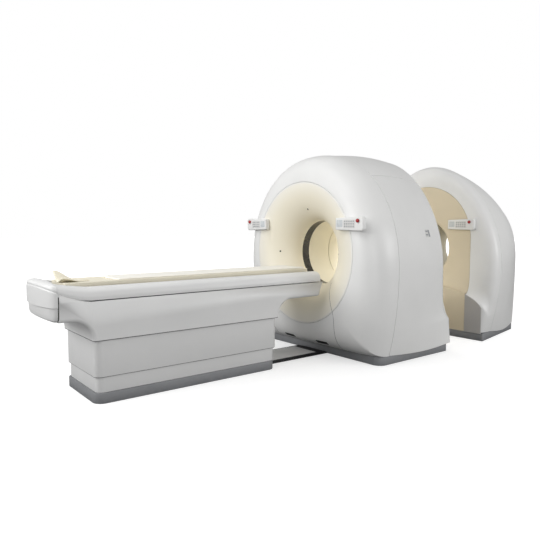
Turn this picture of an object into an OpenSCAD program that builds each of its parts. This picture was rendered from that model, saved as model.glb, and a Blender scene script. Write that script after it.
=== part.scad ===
// PET-CT scanner: patient table, CT gantry and PET gantry on one floor.
// Millimetres. +X runs along the bore axis from the table to the gantries, +Z is up.
// The origin lies on the floor, midway between the table's foot end and the PET gantry's rear.

/* [Bore] */
// Height of the bore axis above the floor
bore_z = 1089; // [1040:1:1140]
// Diameter of the CT bore
ct_bore_d = 700; // [660:1:740]
// Diameter of the PET bore
pet_bore_d = 717; // [670:1:740]
// Wall of the bore liners and funnels
liner_t = 6; // [4:0.5:9]

/* [Covers] */
// Wall of the moulded gantry covers
cover_t = 12; // [8:1:18]
// Gap between neighbouring covers
seam = 0.4; // [0.3:0.05:0.8]
// Gap between a moulded cover and a turned liner or arch
ring_seam = 2; // [1.6:0.1:3]
// Height of the grey plinths
plinth_h = 87; // [70:1:110]
// Wall of the plinths
plinth_t = 60; // [40:1:80]

/* [CT gantry] */
// Foremost plane of the CT front cover
ct_front_x = -210; // [-225:1:-180]
// Plane of the seam behind the CT front cover
ct_seam_x = 140; // [110:1:180]
// Rear edge of the CT side covers above the bench
ct_rear_x = 1070; // [1040:1:1110]
// How far the bench at the rear stands out
ct_bench = 100; // [60:1:130]
// Half width of the CT gantry at its widest
ct_half_w = 1044; // [1010:1:1070]
// Half width of the CT gantry at its plinth
ct_base_half_w = 940; // [910:1:960]
// Height of the CT gantry
ct_top = 2143; // [2110:1:2180]
// Half width at the rear edge
ct_rear_half_w = 896; // [870:1:930]
// Height at the rear edge
ct_rear_top = 2143; // [2110:1:2180]
// Radius of the cream funnel mouth
mouth_r = 756; // [720:1:780]
// Start of the scan window behind the gantry origin
window_x = 122; // [110:1:140]
// Length of the scan window along the bore
window_l = 101; // [80:1:120]
// Seam between the bore liner and the rear funnel
rear_funnel_x = 541; // [525:1:560]
// Mouth radius of the rear funnel
rear_mouth_r = 500; // [470:1:530]
// Length of the CT plinth
ct_plinth_l = 1119; // [1080:1:1150]

/* [CT rotor] */
// Radius of the turning drum
rotor_r = 790; // [740:1:800]
// Radial room between the bore liner and the drum
rotor_room = 44; // [30:1:60]
// Front plane of the drum plate
rotor_x = 300; // [285:1:320]
// Thickness of the drum plate
rotor_t = 40; // [25:1:50]
// Wall of the drum journal
journal_t = 60; // [40:1:80]
// Running clearance of the drum journal in its bearing
journal_gap = 0.3; // [0.2:0.05:0.6]
// Radial depth of the bearing race
race_t = 80; // [60:1:100]
// Thickness of the standing ring
stator_t = 60; // [40:1:80]
// Radius of the standing ring
stator_r = 780; // [740:1:800]

/* [PET gantry] */
// Front plane of the PET bench
pet_bench_x = 1880; // [1850:1:1900]
// Front plane of the PET face above the bench
pet_face_x = 1960; // [1945:1:1990]
// Plane of the seam behind the PET front cover
pet_seam_x = 2120; // [2090:1:2170]
// Rear edge of the PET side covers
pet_rear_x = 2930; // [2900:1:2950]
// Rearmost plane of the PET gantry
pet_end_x = 2980; // [2965:1:2990]
// Half width of the PET gantry at its widest
pet_half_w = 993; // [960:1:1030]
// Half width of the PET gantry at the front of its plinth
pet_base_half_w = 915; // [890:1:940]
// Half width of the PET gantry at the rear of its plinth
pet_base_rear_half_w = 715; // [690:1:760]
// Height of the PET gantry
pet_top = 2155; // [2120:1:2190]
// Half width at the rear edge
pet_rear_half_w = 738; // [725:1:790]
// Height at the rear edge
pet_rear_top = 1828; // [1800:1:1880]
// Half width of the cream strip on the PET front
arch_half_w = 667; // [640:1:690]
// Height of the centre of the cream arch
arch_z = 1220; // [1200:1:1240]
// Height of the bench at its middle
bench_z = 630; // [610:1:650]
// Height at which the bench edge becomes upright
bench_foot_z = 300; // [270:1:330]
// Height of the hollow curve above the bench
bench_curve_h = 190; // [150:1:220]
// Number of detector modules in the PET ring
modules = 28; // [24:1:32]
// Inner radius of the PET detector ring
module_r = 450; // [440:1:470]
// Radial depth of a detector module
module_depth = 140; // [110:1:160]
// Axial length of a detector module
module_l = 180; // [160:1:220]

/* [Control panels] */
// Length of a control panel
panel_l = 366; // [340:1:380]
// Height of a panel at its inner end
panel_h_in = 118; // [105:1:125]
// Height of a panel at its outer end
panel_h_out = 138; // [126:1:150]
// Depth of a panel
panel_d = 46; // [40:1:60]
// Distance from the symmetry plane to the inner end of a CT panel
ct_panel_y = 562; // [545:1:580]
// Distance from the symmetry plane to the inner end of a PET panel
pet_panel_y = 372; // [350:1:390]
// Height of the panel centres
panel_z = 1398; // [1380:1:1420]
// Radius of a stop button
stop_r = 19; // [15:0.5:22]
// Travel of a stop button
stop_travel = 5; // [3:0.5:7]

/* [Table] */
// Half width of the table's upper cover
table_half_w = 368; // [355:1:380]
// Foot-end tip of the table
foot_tip_x = -2980; // [-2990:1:-2976]
// Seam between the upper cover and the foot-end cap
foot_seam_x = -2860; // [-2864:1:-2840]
// Gantry end of the table
table_end_x = -262; // [-280:1:-250]
// Foot end of the pedestal
pedestal_x0 = -2612; // [-2630:1:-2595]
// Gantry end of the pedestal
pedestal_x1 = -805; // [-830:1:-790]
// Corner radius of the pedestal covers
pedestal_r = 60; // [40:1:80]
// Wall of the table covers
table_t = 6; // [5:0.5:9]
// Step from one telescoping cover to the next
cover_step = 14; // [12:0.5:18]
// Height of the grey skirt
skirt_h = 82; // [70:1:90]
// Height of the seam between lower and middle cover
lower_seam_z = 206; // [195:1:215]
// Height of the seam between middle and upper cover
upper_seam_z = 497; // [485:1:510]
// Height of the underside of the overhanging ends
overhang_z = 664; // [650:1:680]
// Radius of the hollow curve below the overhang
overhang_r = 160; // [130:1:180]
// Height of the styling crease on the side
crease_z = 778; // [770:1:785]
// Height of the seam below the deck rim
deck_z = 813; // [808:1:820]
// Height of the deck rim
rim_z = 912; // [905:1:920]
// How far the rim sweeps up at the foot end
foot_rise = 78; // [60:1:95]
// Down travel of the table
lift_travel = 400; // [340:1:405]

/* [Pallet] */
// Half width of the pallet
pallet_half_w = 214; // [200:1:222]
// Foot end of the pallet
pallet_x0 = -2760; // [-2780:1:-2740]
// Gantry end of the pallet
pallet_x1 = -272; // [-290:1:-266]
// Thickness of the pallet at its middle
pallet_t = 26; // [20:1:30]
// Depth of the hollow in the pallet's top
pallet_dish = 12; // [6:1:16]
// Start of the mattress
pad_x0 = -2340; // [-2400:1:-2300]
// Thickness of the mattress
pad_t = 16; // [12:1:20]
// Length of the carriage below the pallet
carriage_l = 380; // [300:1:420]
// Length of the head holder
holder_l = 240; // [220:1:260]

/* [Lift and anchors] */
// Outer radius of the fixed column tube
column_r = 120; // [100:1:130]
// Wall of the column tubes
column_t = 12; // [8:1:16]
// Running clearance between the column stages
column_gap = 0.4; // [0.3:0.05:0.8]
// Distance of each column from the middle of the pedestal
column_x = 560; // [480:1:620]
// Radius of the floor anchor holes
anchor_r = 9; // [6:0.5:12]
// Thickness of the steel base plates
plate_t = 20; // [16:1:30]
// Width of the floor duct
duct_w = 400; // [360:1:440]
// Height of the floor duct
duct_h = 30; // [24:1:40]

/* [Hidden] */
$fn = 96;

// Colours
shell_white = "#e4e4e2";
table_white = "#dcdcda";
cream = "#e9e2cb";
plinth_grey = "#85868a";
window_black = "#2a2b2e";
steel = "#8f949b";
iron = "#6f747b";
stop_red = "#a8323a";

// Small numbers shared by several pieces
over = 1;
ct_bore_r = ct_bore_d / 2;
pet_bore_r = pet_bore_d / 2;
bore = [0, bore_z];

// A value that goes smoothly from 0 to 1 as t goes from a to b
function smooth(a, b, t) = let (u = min(max((t - a) / (b - a), 0), 1)) u * u * (3 - 2 * u);

function unit(v) = v / norm(v);

// Polygon whose corner i is rounded with the radius r[i], convex or hollow
function corner(p, q, s, r, n) =
    let (a = unit(p - q), b = unit(s - q), half = acos(a * b) / 2, c = q + unit(a + b) * r / sin(half))
    let (from = q + a * r / tan(half) - c, to = q + b * r / tan(half) - c)
    let (a0 = atan2(from[1], from[0]), a1 = atan2(to[1], to[0]), turn = (a1 - a0 + 540) % 360 - 180)
    [for (k = [0:n]) c + r * [cos(a0 + turn * k / n), sin(a0 + turn * k / n)]];
function rounded(pts, radii, n = 8) =
    let (m = len(pts))
    [for (i = [0:m - 1])
        let (before = pts[(i + m - 1) % m], after = pts[(i + 1) % m])
        each (radii[i] > 0 ? corner(before, pts[i], after, radii[i], n) : [pts[i]])];
function box_outline(x0, x1, w, r0, r1) =
    rounded([[x0, -w], [x1, -w], [x1, w], [x0, w]], [r0, r1, r1, r0]);

// Closed skin over sections of equal length, as a ring or as a strip with end caps
// Each section lists its outer points and then, backwards, as many inner points
module skin(sections, ring = false) {
    n = len(sections);
    m = len(sections[0]);
    points = [for (s = sections) each s];
    walls = [for (i = [0:n - (ring ? 1 : 2)], j = [0:m - 1])
        let (k = (i + 1) % n, l = (j + 1) % m)
        each [[i * m + j, k * m + j, k * m + l], [i * m + j, k * m + l, i * m + l]]];
    last = (n - 1) * m;
    caps = ring ? [] : [for (j = [0:m / 2 - 2])
        let (k = m - 1 - j, f = last + j, g = last + k)
        each [[j, j + 1, k - 1], [j, k - 1, k], [f + 1, f, g - 1], [g - 1, f, g]]];
    polyhedron(points, concat(walls, caps));
}

// Shape in the YZ plane, extruded along X from x0 to x1
module along_x(x0, x1) {
    translate([x0, 0, 0]) rotate([90, 0, 90]) linear_extrude(x1 - x0) children();
}

// Shape in the XZ plane, extruded along Y over the width 2 w
module across(w) {
    translate([0, w, 0]) rotate([90, 0, 0]) linear_extrude(2 * w) children();
}

// Profile in radius and X, turned about the bore axis
module about_bore(angle = 360) {
    translate([0, 0, bore_z]) rotate([90, 0, 90]) rotate_extrude(angle = angle) children();
}

// Ring about the bore axis
module bore_ring(r0, r1, x0, x1) {
    along_x(x0, x1) translate(bore) difference() {
        circle(r1);
        circle(r0);
    }
}

// Gantry outline in the YZ plane
// The sides lean in to the plinth as a parabola and the crown is a superellipse
crown_power = 2.1;
rear_crown_power = 1.83;
pet_crown_power = 1.85;
pet_rear_crown_power = 2.15;
belly_z = 925;
function crown(w, top, power, k) =
    [w * pow(cos(k * 90), 2 / power), belly_z + (top - belly_z) * pow(sin(k * 90), 2 / power)];
function flank(w, base_w, k) = [w - (w - base_w) * (1 - k) * (1 - k), plinth_h + (belly_z - plinth_h) * k];
function outline(w, base_w, top, power, k, flank_share = 0.3) =
    k < flank_share ? flank(w, base_w, k / flank_share)
                    : crown(w, top, power, (k - flank_share) / (1 - flank_share));

function lerp(a, b, t) = a + (b - a) * t;
function mirror_y(p) = [p[0], -p[1], p[2]];

// Quarter superellipse: share of the way out, then share of the depth that is left
front_power = 2.5;
pet_front_power = 3.4;
function round_out(k, power = front_power) = pow(sin(k * 90), 2 / power);
function round_in(k, power = front_power) = pow(cos(k * 90), 2 / power);
function round_k(t) = asin(pow(t, front_power / 2)) / 90;

// Cover skin: rays about the bore axis
// A ray is [direction, radius of the outline, radius at which the plinth plane cuts it]
far_r = 6000;
ray_low = 6;
ray_side = 22;
function ray_to(p) = let (d = p - bore) [unit(d), norm(d), far_r];
// Low rays are cut by the plinth plane shortly before the shoulder would end, so that the foot tucks in
tuck_share = 0.945;
tuck_power = 8;
function low_ray(base_w, r0, k) =
    let (drop = bore_z - plinth_h, a = k * atan2(base_w, drop), cut = drop / cos(a))
    let (share = lerp(tuck_share, 1, pow(drop * tan(a) / base_w, tuck_power)))
    [[sin(a), -cos(a)], r0 + (cut - r0) / share, cut];
even_shares = [for (i = [0:ray_side]) i / ray_side];
function half_rays(w, base_w, top, power, r0, shares = even_shares) = concat(
    [for (i = [0:ray_low - 1]) low_ray(base_w, r0, i / ray_low)],
    [for (k = shares) ray_to(outline(w, base_w, top, power, k))]);
function flip_ray(ray) = [[-ray[0][0], ray[0][1]], ray[1], ray[2]];
function ring_rays(half) = concat(half, [for (i = [len(half) - 2:-1:1]) flip_ray(half[i])]);

// Rounded shoulder along one ray, from the mouth out to the outline
// face_x is the plane at the mouth, edge_x the plane at the outline
shoulder_steps = 7;
function shoulder(ray, r0, face_x, edge_x, inset) =
    let (r1 = ray[1] - inset, end = round_k(min(1, (min(r1, ray[2]) - r0) / (r1 - r0))))
    [for (i = [0:shoulder_steps])
        let (k = end * i / shoulder_steps, r = r0 + (r1 - r0) * round_out(k))
        [edge_x + (face_x - edge_x) * round_in(k), ray[0][0] * r, bore_z + ray[0][1] * r]];
function reversed(list) = [for (i = [len(list) - 1:-1:0]) list[i]];

// Gantry cover strip between a front outline and a rear outline, from outline share k0 to k1
strip_steps = 14;
strip_stations = 4;
function strip_point(front, rear, x0, x1, s, swell, inset) =
    let (p = lerp(front, rear, s), d = unit(p - bore), q = p + d * (swell * sin(180 * s) - inset))
    [lerp(x0, x1, s), q[0], q[1]];
function strip_section(front, rear, x0, x1, swell) = concat(
    [for (i = [0:strip_stations]) strip_point(front, rear, x0, x1, i / strip_stations, swell, 0)],
    [for (i = [strip_stations:-1:0]) strip_point(front, rear, x0, x1, i / strip_stations, swell, cover_t)]);

// CT gantry forms
ct_side_x0 = ct_seam_x + seam;
ct_crown_k = 0.7;
crown_seam_k = 0.0006;
ct_swell = 28;
bench_low_z = 330;
bench_high_z = 600;
function ct_rear_edge(z) = ct_rear_x + ct_bench * (1 - smooth(bench_low_z, bench_high_z, z));
function ct_front_outline(k) = outline(ct_half_w, ct_base_half_w, ct_top, crown_power, k);
function ct_rear_outline(k) = outline(ct_rear_half_w, ct_base_half_w, ct_rear_top, rear_crown_power, k);
// Outline shares of the side and top covers, which the rear cover takes over so that their edges meet
flank_steps = 9;
crown_steps = 10;
ct_side_shares = concat([for (i = [0:flank_steps - 1]) 0.3 * i / flank_steps],
    [for (i = [0:crown_steps]) lerp(0.3, ct_crown_k, i / crown_steps)]);
ct_top_shares = [for (i = [0:crown_steps]) lerp(ct_crown_k + crown_seam_k, 1, i / crown_steps)];
ct_rear_shares = concat(ct_side_shares, [for (i = [1:crown_steps]) ct_top_shares[i]]);
function ct_point(k, s, inset) =
    let (front = ct_front_outline(k), rear = ct_rear_outline(k))
    let (p = strip_point(front, rear, 0, 1, s, ct_swell, inset))
    let (edge = strip_point(front, rear, 0, 1, 1, 0, inset))
    [lerp(ct_side_x0, ct_rear_edge(edge[2]), s), p[1], p[2]];
function ct_strip(k) = concat(
    [for (i = [0:strip_stations]) ct_point(k, i / strip_stations, 0)],
    [for (i = [strip_stations:-1:0]) ct_point(k, i / strip_stations, cover_t)]);

// CT front cover: rounded shoulder from the funnel mouth to the seam
module ct_front_cover() {
    r0 = mouth_r + ring_seam;
    rays = ring_rays(half_rays(ct_half_w, ct_base_half_w, ct_top, crown_power, r0));
    sections = [for (ray = rays) concat(
        shoulder(ray, r0, ct_front_x, ct_seam_x, 0),
        reversed(shoulder(ray, r0, ct_front_x + cover_t, ct_seam_x, cover_t)))];
    color(shell_white) difference() {
        skin(sections, ring = true);
        for (side = [-1, 1]) latch_block(side, latch_lead, seam);
    }
}

// Latch slots low on the front cover
latch_x = -108;
latch_y = 260;
latch_z = 142;
latch_w = 150;
latch_h = 26;
latch_d = 40;
latch_lead = 80;
module latch_block(side, lead, grow) {
    translate([latch_x - lead, side * latch_y - latch_w / 2 - grow, latch_z - latch_h / 2 - grow])
        cube([lead + latch_d + grow, latch_w + 2 * grow, latch_h + 2 * grow]);
}
module front_latches() {
    color(window_black) for (side = [-1, 1]) latch_block(side, 0, 0);
}

// CT side covers, with a recess for the pull
pull_x = 690;
pull_l = 110;
pull_z = 1262;
pull_h = 78;
pull_d = 40;
pull_sink = 3;
pull_wall = 4;
module ct_side_right() {
    difference() {
        skin([for (k = ct_side_shares) [for (p = ct_strip(k)) mirror_y(p)]]);
        pull_box(-2 * pull_d, 2 * pull_d, seam);
    }
}
pull_k = 0.447;
pull_share = (pull_x + pull_l / 2 - ct_side_x0) / (ct_rear_x - ct_side_x0);
pull_edge = [ct_front_outline(pull_k)[0], ct_rear_outline(pull_k)[0]];
pull_y = lerp(pull_edge[0], pull_edge[1], pull_share) + ct_swell * sin(180 * pull_share);
pull_turn = atan2(pull_edge[0] - pull_edge[1], ct_rear_x - ct_side_x0);
// Box set square to the leaning wall, from the depth d0 to the depth d1 below its surface
module pull_box(d0, d1, grow) {
    translate([pull_x + pull_l / 2, -pull_y, pull_z + pull_h / 2]) rotate([0, 0, pull_turn])
        translate([-pull_l / 2 - grow, d0, -pull_h / 2 - grow])
            cube([pull_l + 2 * grow, d1 - d0, pull_h + 2 * grow]);
}
module cover_pulls() {
    color(plinth_grey) for (side = [0, 1]) mirror([0, side, 0]) difference() {
        pull_box(pull_sink, pull_d, 0);
        pull_box(0, pull_d - pull_wall, -pull_wall);
    }
}
module ct_side_cover_right() {
    color(shell_white) ct_side_right();
}
module ct_side_cover_left() {
    color(shell_white) mirror([0, 1, 0]) ct_side_right();
}

// CT top cover between the two side covers
module ct_top_cover() {
    half = [for (k = ct_top_shares) ct_strip(k)];
    right = [for (section = half) [for (p = section) mirror_y(p)]];
    color(shell_white) skin(concat(right, [for (i = [crown_steps - 1:-1:0]) half[i]]));
}

// CT rear cover with the bench low down
rear_depth = 38;
module ct_rear_cover() {
    r0 = rear_mouth_r + 0.75 * ring_seam;
    half = half_rays(ct_rear_half_w, ct_base_half_w, ct_rear_top, rear_crown_power, r0, ct_rear_shares);
    rays = ring_rays(half);
    function shifted(points) = [for (p = points) [p[0] + ct_rear_edge(p[2]) + ring_seam, p[1], p[2]]];
    sections = [for (ray = rays) concat(
        shifted(shoulder(ray, r0, rear_depth, 0, 0)),
        reversed(shifted(shoulder(ray, r0, rear_depth - cover_t, 0, cover_t))))];
    color(shell_white) mirror([0, 1, 0]) skin(sections, ring = true);
}

// Funnels: quarter ellipse from the mouth to the bore
funnel_steps = 16;
function bell(r0, r1, x_bore, x_mouth, inset) =
    [for (i = [0:funnel_steps])
        let (a = 90 * i / funnel_steps)
        [r1 + inset - (r1 - r0) * cos(a), x_bore - (x_bore - x_mouth - inset) * sin(a)]];
module ct_front_funnel() {
    front = bell(ct_bore_r, mouth_r, window_x, ct_front_x, 0);
    back = bell(ct_bore_r, mouth_r - liner_t, window_x, ct_front_x, liner_t);
    color(cream) difference() {
        about_bore() polygon(concat(front, [[mouth_r, ct_front_x + liner_t]], reversed(back)));
        for (a = laser_angles) laser_hole(a, laser_r + seam);
    }
}

// Positioning light windows set in the funnel wall, on top and at both sides
laser_angles = [0, 90, 270];
laser_r = 9;
laser_ring_r = 470;
module laser_hole(a, r) {
    translate([ct_front_x, 0, bore_z]) rotate([a, 0, 0]) translate([0, 0, laser_ring_r])
        rotate([0, 90, 0]) cylinder(r = r, h = 400);
}
module laser_windows() {
    inner = bell(ct_bore_r, mouth_r, window_x, ct_front_x, 1);
    outer = bell(ct_bore_r, mouth_r - liner_t, window_x, ct_front_x, liner_t);
    color(window_black) intersection() {
        about_bore() polygon(concat(inner, reversed(outer)));
        union() {
            for (a = laser_angles) laser_hole(a, laser_r);
        }
    }
}

module ct_scan_window() {
    color(window_black) bore_ring(ct_bore_r, ct_bore_r + liner_t, window_x, window_x + window_l);
}
module ct_bore_liner() {
    color(cream) bore_ring(ct_bore_r, ct_bore_r + liner_t, window_x + window_l, rear_funnel_x);
}
module ct_rear_funnel() {
    x_mouth = ct_rear_x + rear_depth + seam;
    front = bell(ct_bore_r, rear_mouth_r, rear_funnel_x, x_mouth, 0);
    back = bell(ct_bore_r, rear_mouth_r - liner_t, rear_funnel_x, x_mouth - 2 * liner_t, liner_t);
    color(cream) about_bore() polygon(concat(front, [[rear_mouth_r, x_mouth - liner_t]], reversed(back)));
}

// CT plinth: a wall round the base, with the front corners rounded
plinth_corner_r = 90;
module plinth(x0, x1, w0, w1, r) {
    difference() {
        linear_extrude(plinth_h) polygon(
            rounded([[x0, -w0], [x1, -w1], [x1, w1], [x0, w0]], [r, 12, 12, r]));
        translate([0, 0, -over]) linear_extrude(plinth_h + 2 * over) polygon([
            [x0 + plinth_t, -w0 + plinth_t], [x1 - plinth_t, -w1 + plinth_t],
            [x1 - plinth_t, w1 - plinth_t], [x0 + plinth_t, w0 - plinth_t]]);
    }
}
module ct_plinth() {
    color(plinth_grey) plinth(0, ct_plinth_l, ct_base_half_w, ct_base_half_w - cover_t / 2, plinth_corner_r);
}

// Floor anchor holes, four on a rectangle
module anchors(x, dx, dy, h) {
    for (i = [-1, 1], j = [-1, 1])
        translate([x + i * dx / 2, j * dy / 2, -over]) cylinder(r = anchor_r, h = h + 2 * over);
}

// CT base: plate inside the plinth and two upright walls that carry the standing ring
ct_anchor_end = 159.5;
ct_anchor_dx = ct_plinth_l - 2 * ct_anchor_end;
ct_anchor_in = 118;
ct_mid_x = ct_plinth_l / 2;
stand_wall = 70;
ct_plate_half_w = ct_base_half_w - plinth_t - cover_t;
ct_anchor_dy = 2 * (ct_plate_half_w - ct_anchor_in);
module ct_base_frame() {
    color(steel) {
        difference() {
            translate([plinth_t + seam, -ct_plate_half_w, 0])
                cube([ct_plinth_l - 2 * (plinth_t + seam), 2 * ct_plate_half_w, plate_t]);
            anchors(ct_mid_x, ct_anchor_dx, ct_anchor_dy, plate_t);
        }
        for (side = [-1, 1])
            translate([stator_x - stand_l / 2 + stator_t / 2, side * stand_y - stand_wall / 2, plate_t])
                cube([stand_l, stand_wall, stand_h - plate_t]);
    }
}
stand_y = 560;
stand_l = 620;
stand_h = 180;

// CT standing ring on two feet
rotor_bore_r = ct_bore_r + liner_t + rotor_room;
journal_r = rotor_bore_r + journal_t;
race_r = journal_r + journal_gap + race_t;
stator_x = rotor_x + rotor_t + 30;
foot_w = 180;
module ct_stator() {
    color(iron) along_x(stator_x, stator_x + stator_t) difference() {
        union() {
            translate(bore) circle(stator_r);
            for (side = [-1, 1])
                translate([side * stand_y - foot_w / 2, stand_h]) square([foot_w, bore_z - stand_h]);
        }
        translate(bore) circle(race_r);
    }
}
module ct_main_bearing() {
    color(steel) bore_ring(journal_r + journal_gap, race_r, stator_x, stator_x + stator_t);
}

// CT drum: plate with a ring of lightening holes, and its journal
drum_holes = 12;
drum_hole_r = 45;
drum_hole_ring_r = 560;
journal_l = 170;
module ct_rotor() {
    color(iron) {
        along_x(rotor_x, rotor_x + rotor_t) translate(bore) difference() {
            circle(rotor_r);
            circle(rotor_bore_r);
            for (i = [0:drum_holes - 1])
                rotate(360 * (i + 0.5) / drum_holes) translate([drum_hole_ring_r, 0]) circle(drum_hole_r);
        }
        bore_ring(rotor_bore_r, journal_r, rotor_x + rotor_t - over, rotor_x + rotor_t + journal_l);
    }
}
slip_t = 40;
slip_r = 640;
module slip_ring() {
    x = rotor_x + rotor_t + journal_l;
    color("#b28a4e") bore_ring(rotor_bore_r, min(slip_r, race_r + 60), x, x + slip_t / 2);
}

// What the drum carries, all bolted to its front face
tube_r = 95;
tube_ring_r = 660;
tube_l = 230;
module on_drum(angle, r) {
    translate([rotor_x, 0, bore_z]) rotate([angle, 0, 0]) translate([0, 0, r]) children();
}
module xray_tube() {
    color(steel) on_drum(0, tube_ring_r) rotate([0, -90, 0]) {
        cylinder(r = tube_r, h = tube_l);
        translate([0, 0, tube_l]) cylinder(r = tube_r * 0.6, h = 40);
    }
}
collimator_h = 90;
module collimator() {
    color(iron) on_drum(0, tube_ring_r - tube_r - collimator_h) translate([-200, -110, 0]) difference() {
        cube([200, 220, collimator_h]);
        translate([40, 60, -over]) cube([60, 100, collimator_h + 2 * over]);
    }
}
generator_size = [190, 420, 210];
module xray_generator() {
    color(iron) on_drum(100, 500)
        translate([-generator_size[0], -generator_size[1] / 2, 0]) cube(generator_size);
}
module tube_cooler() {
    color(steel) on_drum(-100, 500) difference() {
        translate([-generator_size[0], -generator_size[1] / 2, 0]) cube(generator_size);
        for (i = [-3:3])
            translate([-generator_size[0] - over, i * 55 - 12, generator_size[2] - 60])
                cube([140, 24, 60 + over]);
    }
}
detector_arc_a = 56;
detector_r = 520;
module detector_arc() {
    x0 = window_x - 20;
    x1 = window_x + window_l + 20;
    color("#4a4f57") translate([0, 0, bore_z]) rotate([270 - detector_arc_a / 2, 0, 0])
        rotate([90, 0, 90]) rotate_extrude(angle = detector_arc_a) polygon([
            [detector_r, x0], [detector_r, x1], [detector_r + 60, x1], [detector_r + 60, rotor_x],
            [detector_r + 130, rotor_x], [detector_r + 130, x0]]);
}

// Control panel: wedge-shaped box, taller at its outer end, with the stop button's well
stop_y = panel_l - 62;
stop_rise = 30;
stem_r = 8;
stem_gap = 0.3;
stem_l = 22;
cap_h = 14;
function panel_outline() = rounded(
    [[0, -panel_h_in / 2], [panel_l, -panel_h_out / 2], [panel_l, panel_h_out / 2], [0, panel_h_in / 2]],
    [8, 26, 26, 8], 6);
module panel(front_x, y, side) {
    mirror([0, side < 0 ? 1 : 0, 0]) translate([front_x, y, panel_z]) difference() {
        rotate([90, 0, 90]) linear_extrude(panel_d) polygon(panel_outline());
        translate([-over, stop_y, stop_rise]) rotate([0, 90, 0])
            cylinder(r = stem_r + stem_gap, h = stem_l + stop_travel + 2 * over);
    }
}
module stop_button(front_x, y, side) {
    color(stop_red) mirror([0, side < 0 ? 1 : 0, 0])
        translate([front_x, y + stop_y, panel_z + stop_rise]) rotate([0, 90, 0]) {
            cylinder(r = stem_r, h = stem_l);
            translate([0, 0, -stop_travel - stem_gap]) cylinder(r = stem_r, h = stop_travel + over);
            translate([0, 0, -stop_travel - stem_gap - cap_h])
                cylinder(r1 = stop_r * 0.8, r2 = stop_r, h = cap_h);
        }
}
ct_panel_x = ct_front_x - stem_gap - panel_d;
pet_panel_x = pet_face_x - stem_gap - panel_d;
module ct_panels() {
    color(shell_white) for (side = [-1, 1]) panel(ct_panel_x, ct_panel_y, side);
}
module pet_panels() {
    color(shell_white) for (side = [-1, 1]) panel(pet_panel_x, pet_panel_y, side);
}
module ct_stop_left() {
    stop_button(ct_panel_x, ct_panel_y, 1);
}
module ct_stop_right() {
    stop_button(ct_panel_x, ct_panel_y, -1);
}
module pet_stop_left() {
    stop_button(pet_panel_x, pet_panel_y, 1);
}
module pet_stop_right() {
    stop_button(pet_panel_x, pet_panel_y, -1);
}

// PET gantry forms
// The bench edge is a superellipse in the YZ plane and carries a hollow quarter ellipse up to the face
bench_power = 2.3;
bench_half_w = pet_base_half_w;
function bench_edge(y) =
    let (left = 1 - pow(min(1, abs(y) / bench_half_w), bench_power))
    bench_foot_z + (bench_z - bench_foot_z) * pow(max(0, left), 1 / bench_power);
function bench_x(y, z) =
    let (s = min(max((z - bench_edge(y)) / bench_curve_h, 0), 1))
    pet_bench_x + (pet_face_x - pet_bench_x) * sqrt(1 - (1 - s) * (1 - s));
function pet_base_w(x) =
    lerp(pet_base_half_w, pet_base_rear_half_w, (x - pet_bench_x) / (pet_rear_x - pet_bench_x));
function pet_front_outline(k) = outline(pet_half_w, pet_base_w(pet_seam_x), pet_top, pet_crown_power, k);
function pet_rear_outline(k) =
    outline(pet_rear_half_w, pet_base_rear_half_w, pet_rear_top, pet_rear_crown_power, k);
pet_swell = 40;
pet_side_x0 = pet_seam_x + seam;
function pet_strip(k) =
    strip_section(pet_front_outline(k), pet_rear_outline(k), pet_side_x0, pet_rear_x, pet_swell);

// Cream arch: upright sides that end in a half circle
arch_sides = 10;
arch_turn = 14;
function arch(k, w) =
    let (share = arch_sides / (arch_sides + arch_turn), a = 90 * (k - share) / (1 - share))
    k < share ? [w, lerp(plinth_h, arch_z, k / share)] : [w * cos(a), arch_z + w * sin(a)];
function arch_top(y, w) = arch_z + sqrt(max(0, w * w - y * y));

// PET front cover: from the arch over the rounded shoulder to the seam
function pet_shoulder(share, inset) =
    let (p = arch(share, arch_half_w + ring_seam), q = pet_front_outline(share))
    let (d = unit(q - p), r = norm(q - p) - inset)
    [for (i = [0:shoulder_steps])
        let (k = i / shoulder_steps, c = p + d * r * round_out(k, pet_front_power))
        let (x = bench_x(c[0], c[1]) + inset)
        [pet_seam_x - (pet_seam_x - x) * round_in(k, pet_front_power), c[0], c[1]]];
module pet_front_cover() {
    n = arch_sides + arch_turn;
    half = [for (i = [0:n]) concat(pet_shoulder(i / n, 0), reversed(pet_shoulder(i / n, cover_t)))];
    right = [for (section = half) [for (p = section) mirror_y(p)]];
    color(shell_white) skin(concat(half, [for (i = [n - 1:-1:0]) right[i]]));
}

// PET front panel: cream surface from the arch into the bore, above the bench edge
panel_rays = 64;
panel_steps = 9;
throat_x = 1990;
throat_r = 385;
function panel_reach(a) =
    let (d = [cos(a), sin(a)])
    let (side = abs(d[0]) > 0.01 ? arch_half_w / abs(d[0]) : far_r)
    let (drop = bore_z - arch_z, b = d[1] * drop, c = drop * drop - arch_half_w * arch_half_w)
    let (top = sqrt(b * b - c) - b)
    bore_z + d[1] * side > arch_z || d[1] > 0.99 ? top : min(side, bench_reach(d, pet_bore_r, side));
function bench_gap(d, r) = bore_z + d[1] * r - bench_edge(d[0] * r);
function bench_reach(d, lo, hi, n = 18) =
    d[1] >= 0 || bench_gap(d, hi) > 0 ? hi :
    n == 0 ? lo :
    let (mid = (lo + hi) / 2)
    bench_gap(d, mid) > 0 ? bench_reach(d, mid, hi, n - 1) : bench_reach(d, lo, mid, n - 1);
function throat(r, reach) =
    let (r1 = min(throat_r, reach), s = min(max((r - pet_bore_r) / (r1 - pet_bore_r), 0), 1))
    1 - sqrt(1 - (1 - s) * (1 - s));
function panel_point(a, s, inset) =
    let (reach = panel_reach(a), r = pet_bore_r + (reach - pet_bore_r) * s * s, d = [cos(a), sin(a)])
    let (y = d[0] * r, z = bore_z + d[1] * r, x = bench_x(y, z))
    [lerp(x, throat_x, throat(r, reach)) + inset, y, z];
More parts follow.
